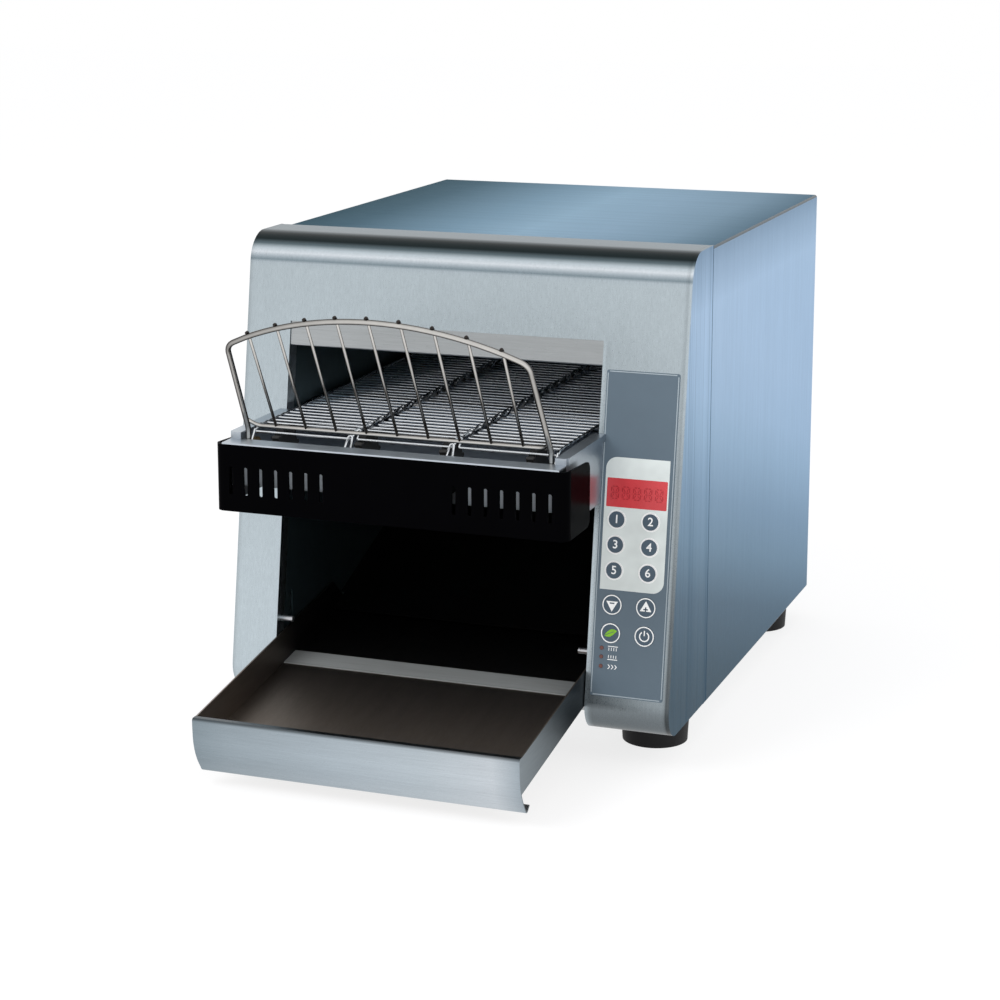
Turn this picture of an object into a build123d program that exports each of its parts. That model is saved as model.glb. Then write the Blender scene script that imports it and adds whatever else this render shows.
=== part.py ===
"""Countertop conveyor toaster with a wire belt, a front return tray and a slanted control panel.

Frame: X to the right, Y to the rear, Z up, millimetres. The origin is on the table under the
middle of the whole toaster. Most depths are counted from the seam between the front panel and
the outer wrap, and most widths of the conveyor from the belt's centre line.
"""

import os
from math import asin, cos, degrees, radians, sin, tan

from build123d import *

os.makedirs("parts", exist_ok=True)

# ---------------------------------------------------------------- driving dimensions
# body
body_width = 370.0
body_depth = 368.5
body_top = 401.0
foot_height = 25.0
sheet = 1.2
sheet_gap = 0.2
bend = 2.5

# front panel
front_proud = 1.5
front_brow = 57.1
front_lean = 8.53
front_bottom = 29.0
brow_radius = 26.0
curl_radius = 22.0
curl_run = 28.0
return_depth = 14.0

# opening and belt line
belt_x = -15.0
opening_width = 266.2
wall_gap = 0.1

# belt
belt_width = 252.0
belt_pitch = 10.6
belt_teeth = 12
belt_links = 34
belt_wire = 1.8
belt_space = 84.0
hook_stagger = 1.2
hook_reach = 0.5
leg_gap = 0.6

# conveyor
front_axis = -143.5
axis_height = 243.0
shaft_side = 10.0
journal_radius = 5.0
bush_radius = 8.0
running = 0.05
wheel_width = 6.0
wheel_spacing = 70.0
rail_clearance = 0.3
rail_rear = 36.0
tie_radius = 4.0
rod_rows = (-10.0, 90.0, 190.0)

# nose frame and black cover
nose_front = 171.0
nose_half = 137.5
nose_ledge = 8.5
nose_strip = 36.5
cover_front = 187.0
cover_half = 144.3
cover_depth = 53.0
cover_height = 53.0
cover_sheet = 1.5
cover_corner = 8.0
slot_pitch = 12.7
slot_width = 3.0
slot_length = 22.3
slot_count = 7
slot_inner = 54.3
spacer_width = 9.0
spacer_x = 47.5

# loading rack
rack_half = 124.5
rack_rod = 4.7
rack_bar = 3.2
rack_wire = 2.4
rack_pivot_y = 166.2
rack_knee = 11.5
rack_lean = 29.4
rack_leg = 62.0
rack_rise = 43.0
rack_wires = 9
rack_pitch = 25.4

# tray and chute
tray_fall = 8.3
tray_front = 256.0
tray_front_z = 29.0
tray_rear = 25.0
tray_gap = 0.7
tray_wall = 28.0
tray_face = 49.0
tray_curl = 9.0
ledge_width = 9.0
chute_start = 5.0
chute_fall = 20.0
chute_edge = 12.0
stud_radius = 2.5
stud_length = 10.0
stud_z = 91.0
stud_behind = 10.0
wall_slot_length = 20.0
wall_slot_width = 4.0

# heating
tube_radius = 5.0
tube_pitch = 50.0
upper_tubes = 5
lower_tubes = 4
upper_first = -10.0
lower_first = 15.0
ceramic_side = 16.0
reflector_rise = 14.0

# drive
chain_pitch = 9.525
chain_teeth = 12
chain_links = 13
roller_radius = 2.5
chain_inner = 3.2
chain_plate = 1.0
chain_offset = 10.0
motor_length = 88.0

# controls
overlay_height = 254.3
overlay_sheet = 0.5
overlay_low = 6.4
key_rows = (145.2, 125.5, 105.4)
low_key_rows = (78.6, 56.3)
key_radius = 7.0
low_key_radius = 7.8
key_gap = 0.25
key_proud = 0.4
key_travel = 0.4
window_height = 22.5
window_v = 166.1
lamp_rows = (44.2, 37.3, 29.9)
lamp_radius = 1.5
board_depth = 12.0

# feet
foot_radius = 28.0
foot_front = -21.0
foot_inset = 35.0
foot_screw = 3.0

# rear screws
wall_flange = 10.0
screw_radius = 1.6

# ---------------------------------------------------------------- derived places
lean_tan = tan(radians(front_lean))
front_top = body_top + 2.0
opening_top = front_top - 69.0
roof_z = front_top - 31.0
upper_z = opening_top - 3.0
lower_z = axis_height + 6.0
pan_z = axis_height - 7.0
nose_bottom = axis_height - 33.0
nose_lip = axis_height + 14.5
nose_top = axis_height + 20.0
cover_bottom = axis_height - 39.5
slot_height = axis_height - 15.0
rack_pivot_z = axis_height + 11.0
chute_rear = body_depth - 16.5
chute_top = axis_height + 19.0
foot_rows = (foot_front, body_depth - 53.5)
screw_rows = (62.0, 150.0, 238.0, roof_z - 12.0)
front_reach = tray_front + 2.0
rear_reach = body_depth + 9.0
seam_y = (front_reach - rear_reach) / 2

half_body = body_width / 2
half_inside = half_body - sheet
opening_half = opening_width / 2
wall_in = opening_half + sheet + wall_gap
wall_out = wall_in + sheet
rail_out = opening_half - rail_clearance
rail_in = rail_out - sheet
belt_half = belt_width / 2
belt_radius = belt_pitch / (2 * sin(radians(180 / belt_teeth)))
rear_axis = front_axis + belt_links * belt_pitch
foot_x = half_body - foot_inset
bay = half_inside - belt_x - wall_out
bay_x = half_inside - bay / 2
wiring_bay = half_inside + belt_x - wall_out
tube_reach = wiring_bay * 0.36
ceramic_length = wiring_bay * 0.542
belt_top = axis_height + belt_radius
bar_corner = belt_wire * 0.71

# the column beside the opening carries the overlay; keys and window keep their share of its width
column = half_body + front_proud - belt_x - opening_half
overlay_width = column - 9.6
overlay_x = belt_x + opening_half + column / 2 - 0.7
key_x = (overlay_x - overlay_width * 0.257, overlay_x + overlay_width * 0.2075)
window_width = overlay_width * 0.86
window_x = overlay_x + 0.1
lamp_x = overlay_x - overlay_width * 0.369


def face_y(z):
    """Depth of the slanted face's outer surface at height z."""
    return -front_brow - (front_top - z) * lean_tan


def side(x):
    """Side-view plane at x: local x is depth behind the seam, local y is height."""
    return Plane(origin=(x, seam_y, 0), x_dir=(0, 1, 0), z_dir=(1, 0, 0))


def level(z, x=0.0):
    """Plan plane at height z, with local x counted from x and local y from the seam."""
    return Plane(origin=(x, seam_y, z), x_dir=(1, 0, 0), z_dir=(0, 0, 1))


def section(y, x=0.0):
    """Front-view plane at depth y behind the seam: local x across, local y is height."""
    return Plane(origin=(x, seam_y + y, 0), x_dir=(1, 0, 0), z_dir=(0, -1, 0))


def panel(out=0.0):
    """Plane on the slanted face: local y runs up the face from the curl, out is along its normal."""
    low = front_bottom + curl_radius * (1 + sin(radians(front_lean))) / cos(radians(front_lean))
    normal = (0, -cos(radians(front_lean)), sin(radians(front_lean)))
    return Plane(origin=(0, seam_y + face_y(low), low), x_dir=(1, 0, 0), z_dir=normal).offset(out)


def bent(points, radius, thickness, turn=Side.LEFT):
    """Edge-on view of a bent sheet: its outer line thickened to one side."""
    with BuildSketch() as strip:
        with BuildLine():
            FilletPolyline(*points, radius=radius)
            offset(amount=thickness, side=turn)
        make_face()
    return strip.sketch


def loop_planes(x, start, heading, links, pitch, teeth):
    """Planes of the links of a loop round two equal wheels: local y along the link, z outward."""
    step = 360 / teeth
    radius = pitch / (2 * sin(radians(step / 2)))
    run = links * pitch
    end = (start[0] + run * cos(radians(heading)), start[1] + run * sin(radians(heading)))
    places = []
    for leave, arrive, way in ((start, end, heading), (end, start, heading + 180)):
        out = way + 90
        for link in range(links):
            y = leave[0] + radius * cos(radians(out)) + link * pitch * cos(radians(way))
            z = leave[1] + radius * sin(radians(out)) + link * pitch * sin(radians(way))
            places.append((y, z, out))
        for tooth in range(teeth // 2):
            angle = out - tooth * step
            y = arrive[0] + radius * cos(radians(angle))
            z = arrive[1] + radius * sin(radians(angle))
            places.append((y, z, angle - step / 2))
    return [
        Plane(
            origin=(x, seam_y + y, z),
            x_dir=(1, 0, 0),
            z_dir=(0, cos(radians(out)), sin(radians(out))),
        )
        for y, z, out in places
    ]


def toothed_outline(teeth, root, tip, root_width, tip_width):
    """Side view of a wheel with straight-sided teeth halfway between its seats."""
    with BuildSketch() as outline:
        RegularPolygon(root, teeth, major_radius=False, rotation=180 / teeth)
        with PolarLocations(0, teeth, start_angle=180 / teeth):
            Polygon(
                (root - 4, -root_width / 2),
                (tip, -tip_width / 2),
                (tip, tip_width / 2),
                (root - 4, root_width / 2),
                align=None,
            )
    return outline.sketch


def save(piece, name):
    """Label one finished sub-part and write it."""
    piece.part.label = name
    export_step(piece.part, f"parts/{name}.step")


# ---------------------------------------------------------------- outer body
# The wrap is one sheet: top, two sides and narrow flanges turned in under the base.
flange = 16.0
with BuildPart() as body_wrap:
    with BuildSketch(section(0)):
        add(
            bent(
                (
                    (flange - half_body, foot_height),
                    (-half_body, foot_height),
                    (-half_body, body_top),
                    (half_body, body_top),
                    (half_body, foot_height),
                    (half_body - flange, foot_height),
                ),
                bend,
                sheet,
                Side.RIGHT,
            )
        )
    extrude(amount=-body_depth)
save(body_wrap, "body_wrap")

# The front panel is a slanted sheet with a rolled brow and a curled lower edge, closed by two
# cheeks. Tongues behind its rear edge slide inside the wrap.
half_front = half_body + front_proud
tongue = 12.0
tongue_z = body_top - sheet - sheet_gap
curl_y = face_y(front_bottom)
front_line = (
    (tongue, tongue_z),
    (-sheet_gap - sheet, tongue_z),
    (-sheet_gap - sheet, front_top),
    (-front_brow, front_top),
    (curl_y, front_bottom),
    (curl_y + curl_run, front_bottom),
)
key_places = [(x, v, key_radius) for v in key_rows for x in key_x]
key_places += [(x, v, low_key_radius) for v in low_key_rows for x in key_x]
with BuildPart() as front_panel:
    with BuildSketch(side(-half_front)):
        add(bent(front_line, (0, 0, brow_radius, curl_radius), sheet))
    extrude(amount=2 * half_front)
    # the tongue under the wrap's top is narrower than the front
    for hand in (-1, 1):
        with Locations(Location((hand * half_front, seam_y + tongue / 2, tongue_z))):
            Box(2 * (front_proud + bend + sheet), tongue, 4 * sheet, mode=Mode.SUBTRACT)
    for hand in (-1, 1):
        with BuildSketch(side(hand * (half_front - sheet / 2))) as cheek:
            with BuildLine():
                edge = FilletPolyline(
                    (-sheet_gap, front_top),
                    (-front_brow, front_top),
                    (curl_y, front_bottom),
                    (curl_y + curl_run, front_bottom),
                    radius=(brow_radius, curl_radius),
                )
                Polyline(edge @ 1, (-sheet_gap, front_bottom), edge @ 0)
            make_face()
        extrude(amount=sheet / 2, both=True)
        tongue_x = hand * (half_inside - sheet_gap - sheet / 2)
        with BuildSketch(side(tongue_x)):
            with Locations((0, (tongue_z + front_bottom) / 2)):
                Rectangle(2 * tongue, tongue_z - front_bottom - 2 * flange)
        extrude(amount=sheet / 2, both=True)
        with BuildSketch(side(hand * (half_front + half_inside - sheet) / 2)):
            with Locations((-tongue + sheet, (tongue_z + front_bottom) / 2)):
                Rectangle(sheet, tongue_z - front_bottom - 2 * flange)
        extrude(amount=(half_front - half_inside) / 2, both=True)
    # opening down to the lower edge, with returns along its two sides
    with BuildSketch(section(-return_depth, belt_x)):
        with Locations((0, (opening_top - foot_height) / 2)):
            Rectangle(opening_width, opening_top + foot_height)
    extrude(amount=2 * return_depth + front_brow * 2, mode=Mode.SUBTRACT)
    for hand in (-1, 1):
        with BuildSketch(side(belt_x + hand * (opening_half + sheet / 2))):
            Polygon(
                (face_y(opening_top) + sheet / 2, opening_top),
                (face_y(front_bottom + curl_radius) + sheet / 2, front_bottom + curl_radius),
                (face_y(front_bottom + curl_radius) + return_depth, front_bottom + curl_radius),
                (face_y(opening_top) + return_depth, opening_top),
                align=None,
            )
        extrude(amount=sheet / 2, both=True)
    # holes for the keys, lamps and display window
    with BuildSketch(panel()):
        for x, v, radius in key_places:
            with Locations((x, v)):
                RegularPolygon(radius + key_gap, 16)
        for v in lamp_rows:
            with Locations((lamp_x, v)):
                RegularPolygon(lamp_radius + key_gap, 8)
        with Locations((window_x, window_v)):
            Rectangle(window_width, window_height)
    extrude(amount=-2 * sheet, mode=Mode.SUBTRACT)
    # stud holes in the returns
    stud_y = face_y(stud_z) + stud_behind
    with Locations(side(belt_x) * Location((stud_y, stud_z, 0))):
        Cylinder(stud_radius, opening_width + 4 * sheet, mode=Mode.SUBTRACT)
save(front_panel, "front_panel")

# Base pan with a turned-up front edge; the rear panel stands on its flat rear edge.
base_front = -52.0
base_z = foot_height + sheet + sheet_gap / 2
base_edge = 14.0
rear_y = body_depth - sheet - sheet_gap
with BuildPart() as base_pan:
    with BuildSketch(side(bend - sheet / 2 - half_inside)):
        add(
            bent(
                (
                    (base_front, base_z + base_edge),
                    (base_front, base_z),
                    (rear_y, base_z),
                ),
                bend,
                sheet,
            )
        )
    extrude(amount=2 * (half_inside - bend + sheet / 2))
    with BuildSketch(level(base_z)):
        with Locations(*[(hand * foot_x, y) for hand in (-1, 1) for y in foot_rows]):
            RegularPolygon(foot_screw, 6)
        with Locations((belt_x, (tray_rear + rear_y) / 2)):
            with GridLocations(44, 40, 5, 3):
                Rectangle(5, 28)
    extrude(amount=sheet, mode=Mode.SUBTRACT)
    # notches where the chamber walls cross the turned-up edge
    for hand in (-1, 1):
        with BuildSketch(level(base_z + sheet, belt_x + hand * (wall_in + wall_out) / 2)):
            with Locations((0, base_front)):
                Rectangle(sheet + 0.4, 8)
        extrude(amount=base_edge, mode=Mode.SUBTRACT)
save(base_pan, "base_pan")

# Rear panel: a shallow pan inside the wrap, with louvres, fan slots and the cord inlet hole.
fan_x = bay_x
fan_z = roof_z - 52.0
fan_side = bay - 3.2
gland_x = bay_x - 2.0
gland_z = 72.0
gland_radius = 11.0
rear_low = base_z + sheet + sheet_gap
rear_high = body_top - sheet - sheet_gap
louvre_rows = 7
louvre_pitch = 24.0
louvre_length = 70.0
with BuildPart() as rear_panel:
    with BuildSketch(section(body_depth - sheet_gap)):
        with Locations((0, (rear_low + rear_high) / 2)):
            RectangleRounded(2 * (half_inside - sheet_gap), rear_high - rear_low, bend)
    extrude(amount=base_edge)
    with BuildSketch(section(body_depth - sheet_gap - sheet)):
        with Locations((0, (rear_low + rear_high) / 2)):
            Rectangle(2 * (half_inside - sheet_gap - sheet), rear_high - rear_low - 2 * sheet)
    extrude(amount=base_edge, mode=Mode.SUBTRACT)
    with BuildSketch(section(body_depth)):
        with Locations((fan_x, fan_z)):
            with GridLocations(1, fan_side / 8, 1, 7):
                Rectangle(fan_side - 14, 4)
        with Locations((gland_x, gland_z)):
            Circle(gland_radius)
        for hand in (-1, 1):
            x = belt_x + hand * (wall_out + wall_flange / 2)
            with Locations(*[(x, z) for z in screw_rows]):
                RegularPolygon(screw_radius, 6)
    extrude(amount=2 * sheet, mode=Mode.SUBTRACT)
    # louvres: each a slot under a pressed hood
    with BuildSketch(section(body_depth)):
        with Locations((belt_x, 150)):
            with GridLocations(louvre_length + 20, louvre_pitch, 2, louvre_rows):
                Rectangle(louvre_length, 5)
    extrude(amount=2 * sheet, mode=Mode.SUBTRACT)
    for hand in (-1, 1):
        for row in range(louvre_rows):
            low = 150 + (row - (louvre_rows - 1) / 2) * louvre_pitch - 2.5
            with BuildSketch(side(belt_x + hand * (louvre_length / 2 + 10))):
                Polygon(
                    (body_depth - sheet_gap - sheet, low + 7.5),
                    (body_depth + 4, low),
                    (body_depth + 5, low),
                    (body_depth - sheet_gap, low + 8.5),
                    (body_depth - sheet_gap - sheet, low + 8.5),
                    align=None,
                )
            extrude(amount=louvre_length / 2, both=True)
save(rear_panel, "rear_panel")

# Feet: slightly tapered rubber with a boss against the base and a countersunk screw hole.
foot_taper = 1.5
screw_seat = 10.0
with BuildPart() as foot:
    with BuildSketch():
        Circle(foot_radius - foot_taper)
    with BuildSketch(Plane.XY.offset(foot_height)):
        Circle(foot_radius)
    loft()
    with BuildSketch(Plane.XY.offset(foot_height)):
        RegularPolygon(foot_radius / 2, 8)
    extrude(amount=base_z - foot_height)
    with BuildSketch():
        RegularPolygon(8, 6)
    extrude(amount=screw_seat, mode=Mode.SUBTRACT)
    with BuildSketch():
        RegularPolygon(foot_screw, 6)
    extrude(amount=base_z, mode=Mode.SUBTRACT)
with BuildPart() as feet:
    with Locations(*[level(0) * Pos(hand * foot_x, y) for hand in (-1, 1) for y in foot_rows]):
        add(foot.part)
save(feet, "feet")

with BuildPart() as foot_screws:
    with BuildSketch(level(screw_seat)):
        with Locations(*[(hand * foot_x, y) for hand in (-1, 1) for y in foot_rows]):
            RegularPolygon(6.5, 6)
    extrude(amount=-4)
    with BuildSketch(level(screw_seat)):
        with Locations(*[(hand * foot_x, y) for hand in (-1, 1) for y in foot_rows]):
            RegularPolygon(foot_screw, 6)
    extrude(amount=base_z + sheet - screw_seat)
save(foot_screws, "foot_screws")

# ---------------------------------------------------------------- chamber
# Two walls stand on the base pan beside the conveyor, each with outward flanges at foot and rear.
floor_z = base_z + sheet
rear_face = body_depth - sheet_gap - sheet
wall_front = 3.0
tube_rows = [(upper_first + k * tube_pitch, upper_z) for k in range(upper_tubes)]
tube_rows += [(lower_first + k * tube_pitch, lower_z) for k in range(lower_tubes)]
ledge_rise = tan(radians(tray_fall))
ledge_rows = (-90.0, tray_rear)


def tray_z(y):
    """Height of the underside of the tray's floor at depth y."""
    return tray_front_z + (y + tray_front) * ledge_rise


for name, hand in (("left_wall", -1), ("right_wall", 1)):
    with BuildPart() as wall:
        with BuildSketch(side(belt_x + hand * (wall_in + wall_out) / 2)):
            Polygon(
                (face_y(floor_z) + curl_run + wall_front, floor_z),
                (rear_y - base_edge - 2 * sheet_gap, floor_z),
                (rear_y - base_edge - 2 * sheet_gap, floor_z + 2 * sheet),
                (rear_face, floor_z + 2 * sheet),
                (rear_face, roof_z),
                (face_y(roof_z) + wall_front, roof_z),
                (face_y(front_bottom + curl_radius) + wall_front, front_bottom + curl_radius),
                align=None,
            )
            with Locations((face_y(99) + 29.7, 99)):
                SlotOverall(wall_slot_length, wall_slot_width, rotation=90, mode=Mode.SUBTRACT)
            with Locations(*tube_rows):
                Rectangle(ceramic_side, ceramic_side, mode=Mode.SUBTRACT)
            with Locations((stud_y, stud_z)):
                Circle(stud_radius, mode=Mode.SUBTRACT)
            if hand > 0:
                with Locations((rear_axis, axis_height)):
                    Circle(bush_radius + running, mode=Mode.SUBTRACT)
        extrude(amount=sheet / 2, both=True)
        # foot flange on the base pan
        with BuildSketch(level(floor_z, belt_x + hand * (wall_out + wall_flange / 2))):
            with Locations((0, (base_front + 10 + rear_y - base_edge) / 2)):
                Rectangle(wall_flange, rear_y - base_edge - base_front - 12)
        extrude(amount=sheet)
        # rear flange against the rear panel
        with BuildSketch(section(rear_face, belt_x + hand * (wall_out + wall_flange / 2))):
            with Locations((0, (roof_z + floor_z + 2 * sheet) / 2)):
                Rectangle(wall_flange, roof_z - floor_z - 2 * sheet)
            with Locations(*[(0, z) for z in screw_rows]):
                RegularPolygon(screw_radius, 6, mode=Mode.SUBTRACT)
            if hand > 0:
                with Locations((0, fan_z)):
                    Rectangle(wall_flange, fan_side + 1, mode=Mode.SUBTRACT)
        extrude(amount=sheet)
        # ledge under the tray
        with BuildSketch(side(belt_x + hand * (wall_in - ledge_width / 2))):
            Polygon(
                (ledge_rows[0], tray_z(ledge_rows[0])),
                (ledge_rows[1], tray_z(ledge_rows[1])),
                (ledge_rows[1], tray_z(ledge_rows[1]) - sheet),
                (ledge_rows[0], tray_z(ledge_rows[0]) - sheet),
                align=None,
            )
        extrude(amount=ledge_width / 2, both=True)
    save(wall, name)

with BuildPart() as chamber_roof:
    with BuildSketch(section(face_y(roof_z) + wall_front, belt_x)):
        add(
            bent(
                (
                    (-wall_out - 2 * sheet, roof_z - 12),
                    (-wall_out - 2 * sheet, roof_z + sheet),
                    (wall_out + 2 * sheet, roof_z + sheet),
                    (wall_out + 2 * sheet, roof_z - 12),
                ),
                2 * sheet,
                sheet,
                Side.RIGHT,
            )
        )
    extrude(amount=face_y(roof_z) + wall_front - rear_face + sheet)
save(chamber_roof, "chamber_roof")

# Deflector strip behind the top edge of the opening.
strip_top = opening_top + 16.0
strip_low = opening_top - 20.0
strip_return = 9.0
with BuildPart() as deflector:
    with BuildSketch(side(belt_x - opening_half + rail_clearance)):
        add(
            bent(
                (
                    (face_y(strip_top) + sheet / cos(radians(front_lean)), strip_top),
                    (face_y(strip_low) + sheet / cos(radians(front_lean)), strip_low),
                    (face_y(strip_low) + strip_return, strip_low + 0.5),
                ),
                1.5,
                sheet,
            )
        )
    extrude(amount=2 * (opening_half - rail_clearance))
save(deflector, "deflector")

# Guide studs with outer nuts, through the walls and the panel's returns.
with BuildPart() as guide_studs:
    for hand in (-1, 1):
        with BuildSketch(side(belt_x + hand * (opening_half - stud_length))):
            with Locations((stud_y, stud_z)):
                Circle(stud_radius)
        extrude(amount=hand * (stud_length + wall_out - opening_half + 5))
        with BuildSketch(side(belt_x + hand * wall_out)):
            with Locations((stud_y, stud_z)):
                RegularPolygon(4.5, 6)
        extrude(amount=hand * 3)
save(guide_studs, "guide_studs")

# ---------------------------------------------------------------- heating
with BuildPart() as heating_tubes:
    with BuildSketch(side(belt_x)):
        with Locations(*tube_rows):
            RegularPolygon(tube_radius, 8)
    extrude(amount=wall_out + tube_reach, both=True)
save(heating_tubes, "heating_tubes")

# square blocks through the walls, each bored for its tube's end
ceramic_start = wall_in - sheet
with BuildPart() as tube_ceramics:
    for hand in (-1, 1):
        with BuildSketch(side(belt_x + hand * ceramic_start)):
            with Locations(*tube_rows):
                Rectangle(ceramic_side, ceramic_side)
                RegularPolygon(tube_radius, 8, mode=Mode.SUBTRACT)
        extrude(amount=hand * ceramic_length)
save(tube_ceramics, "tube_ceramics")

reflector_front = upper_first - 24.0
reflector_rear = upper_first + (upper_tubes - 1) * tube_pitch + 40.0
with BuildPart() as upper_reflector:
    with BuildSketch(side(belt_x - wall_in)):
        add(
            bent(
                (
                    (reflector_front - 6, upper_z + reflector_rise - 14),
                    (reflector_front, upper_z + reflector_rise),
                    (reflector_rear, upper_z + reflector_rise),
                    (reflector_rear + 6, upper_z + reflector_rise - 14),
                ),
                bend,
                sheet,
                Side.LEFT,
            )
        )
    extrude(amount=2 * wall_in)
save(upper_reflector, "upper_reflector")

with BuildPart() as lower_reflector:
    with BuildSketch(side(belt_x - rail_in)):
        add(
            bent(
                (
                    (front_axis + 26, pan_z + 8),
                    (front_axis + 29, pan_z),
                    (rear_axis - 30, pan_z),
                    (rear_axis - 27, pan_z + 6),
                ),
                bend,
                sheet,
            )
        )
    extrude(amount=2 * rail_in)
save(lower_reflector, "lower_reflector")

# ---------------------------------------------------------------- conveyor
ledge_z = nose_top - sheet
rail_front = 0.1 + sheet - nose_front
boss_radius = 6.0
boss_rows = ((-20.0, axis_height - 19), (rear_axis - 11, axis_height - 22))
with BuildPart() as conveyor_frame:
    for hand in (-1, 1):
        with BuildSketch(side(belt_x + hand * (rail_in + rail_out) / 2)):
            Polygon(
                (rail_front, nose_bottom + 6),
                (rail_front + 6, nose_bottom),
                (rear_axis + rail_rear - 8, nose_bottom),
                (rear_axis + rail_rear, nose_bottom + 8),
                (rear_axis + rail_rear, ledge_z - 8),
                (rear_axis + rail_rear - 8, ledge_z),
                (rail_front, ledge_z),
                align=None,
            )
            with Locations((front_axis, axis_height), (rear_axis, axis_height)):
                Circle(bush_radius + running, mode=Mode.SUBTRACT)
            with Locations(*tube_rows[upper_tubes:]):
                RegularPolygon(tube_radius + 2, 8, mode=Mode.SUBTRACT)
            with Locations(*[(y, belt_top - belt_wire / 2 - tie_radius - running) for y in rod_rows]):
                RegularPolygon(tie_radius - 1, 8, mode=Mode.SUBTRACT)
            with Locations((-rack_pivot_y, rack_pivot_z)):
                Circle(rack_rod / 2 + running, mode=Mode.SUBTRACT)
        extrude(amount=sheet / 2, both=True)
        # bosses that carry the frame between the chamber walls
        with BuildSketch(side(belt_x + hand * rail_out)):
            with Locations(*boss_rows):
                RegularPolygon(boss_radius, 8)
        extrude(amount=hand * (wall_in - rail_out))
    for share in (0.23, 0.56, 0.9):
        with BuildSketch(level(nose_bottom, belt_x)):
            with Locations((0, front_axis + share * (rear_axis - front_axis))):
                Rectangle(2 * rail_out, 20)
        extrude(amount=sheet)
save(conveyor_frame, "conveyor_frame")

rod_places = [(y, belt_top - belt_wire / 2 - tie_radius - running) for y in rod_rows]
with BuildPart() as belt_rods:
    with BuildSketch(side(belt_x)):
        with Locations(*rod_places):
            Circle(tie_radius)
    extrude(amount=rail_in, both=True)
    with BuildSketch(side(belt_x)):
        with Locations(*rod_places):
            RegularPolygon(tie_radius - 1, 8)
    extrude(amount=rail_out + 0.6, both=True)
save(belt_rods, "belt_rods")

# One strand of the belt: a cross wire whose ends and two middle joints reach for the next wire.
half_wire = belt_wire / 2
leg_end = belt_pitch - half_wire - leg_gap
hook_low = half_wire + hook_reach
with BuildPart() as strand:
    with BuildSketch(Plane.XY.offset(-half_wire)):
        Polygon(
            (-belt_half, -half_wire),
            (belt_half, -half_wire),
            (belt_half, leg_end),
            (belt_half - belt_wire, leg_end),
            (belt_half - belt_wire, half_wire),
            (belt_wire - belt_half, half_wire),
            (belt_wire - belt_half, leg_end),
            (-belt_half, leg_end),
            align=None,
        )
    extrude(amount=belt_wire)
with BuildPart() as hook:
    with BuildSketch(Plane.YZ):
        Polygon(
            (half_wire, half_wire),
            (belt_pitch + 2.4, hook_low + 1.3),
            (belt_pitch + 2.4, -half_wire),
            (belt_pitch + 1.4, -half_wire),
            (belt_pitch + 1.4, hook_low),
            (half_wire, -half_wire / 2),
            align=None,
        )
    extrude(amount=half_wire * 0.9, both=True)
belt_planes = loop_planes(
    belt_x, (rear_axis, axis_height), 180, belt_links, belt_pitch, belt_teeth
)
rows = []
for index, plane in enumerate(belt_planes):
    shift = hook_stagger * (1 if index % 2 else -1)
    hooks = [Pos(hand * belt_space / 2 + shift, 0, 0) * hook.part for hand in (-1, 1)]
    rows.append(plane.location * strand.part.fuse(*hooks))
belt = Compound(label="belt", children=rows)
export_step(belt, "parts/belt.step")

# Belt wheels on square shafts, with bushes in the rails.
seat = belt_radius - bar_corner * cos(radians(30)) - 0.15
wheel_places = [(k - 1.5) * wheel_spacing for k in range(4)]
for name, axis in (("drive_sprockets", rear_axis), ("idler_sprockets", front_axis)):
    with BuildPart() as wheels:
        for x in wheel_places:
            with BuildSketch(side(belt_x + x)):
                with Locations((axis, axis_height)):
                    add(toothed_outline(belt_teeth, seat, belt_radius + 1.6, 5.2, 2.4))
                    Rectangle(shaft_side, shaft_side, mode=Mode.SUBTRACT)
            extrude(amount=wheel_width / 2, both=True)
    save(wheels, name)

square_half = rail_in - 4.0
with BuildPart() as idler_shaft:
    with BuildSketch(side(belt_x - square_half)):
        with Locations((front_axis, axis_height)):
            Rectangle(shaft_side, shaft_side)
    extrude(amount=2 * square_half)
    with BuildSketch(side(belt_x - rail_out - 1)):
        with Locations((front_axis, axis_height)):
            Circle(journal_radius)
    extrude(amount=2 * (rail_out + 1))
save(idler_shaft, "idler_shaft")

chain_x = belt_x + wall_out + chain_offset
shaft_end = chain_x + 6.0
with BuildPart() as drive_shaft:
    with BuildSketch(side(belt_x - square_half)):
        with Locations((rear_axis, axis_height)):
            Rectangle(shaft_side, shaft_side)
    extrude(amount=2 * square_half)
    with BuildSketch(side(belt_x - rail_out - 1)):
        with Locations((rear_axis, axis_height)):
            Circle(journal_radius)
    extrude(amount=shaft_end - belt_x + rail_out + 1)
save(drive_shaft, "drive_shaft")


def bush(hand, axis, far):
    """Flanged bush in a rail; the far end stops at the given distance from the belt's centre."""
    with BuildPart() as ring:
        with BuildSketch(side(belt_x + hand * (rail_in - 2.5))):
            with Locations((axis, axis_height)):
                Circle(11)
        extrude(amount=hand * 2.5)
        with BuildSketch(side(belt_x + hand * rail_in)):
            with Locations((axis, axis_height)):
                Circle(bush_radius)
        extrude(amount=hand * (far - rail_in))
        with BuildSketch(side(belt_x + hand * (rail_in - 3))):
            with Locations((axis, axis_height)):
                Circle(journal_radius + running)
        extrude(amount=hand * (far - rail_in + 8), mode=Mode.SUBTRACT)
    return ring.part


with BuildPart() as idler_bushes:
    for hand in (-1, 1):
        add(bush(hand, front_axis, rail_out + 1))
save(idler_bushes, "idler_bushes")

with BuildPart() as drive_bearings:
    add(bush(-1, rear_axis, rail_out + 1))
    add(bush(1, rear_axis, wall_out))
    with BuildSketch(side(belt_x + wall_out)):
        with Locations((rear_axis, axis_height)):
            Rectangle(30, 30)
            Circle(journal_radius + running, mode=Mode.SUBTRACT)
    extrude(amount=3)
save(drive_bearings, "drive_bearings")

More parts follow.
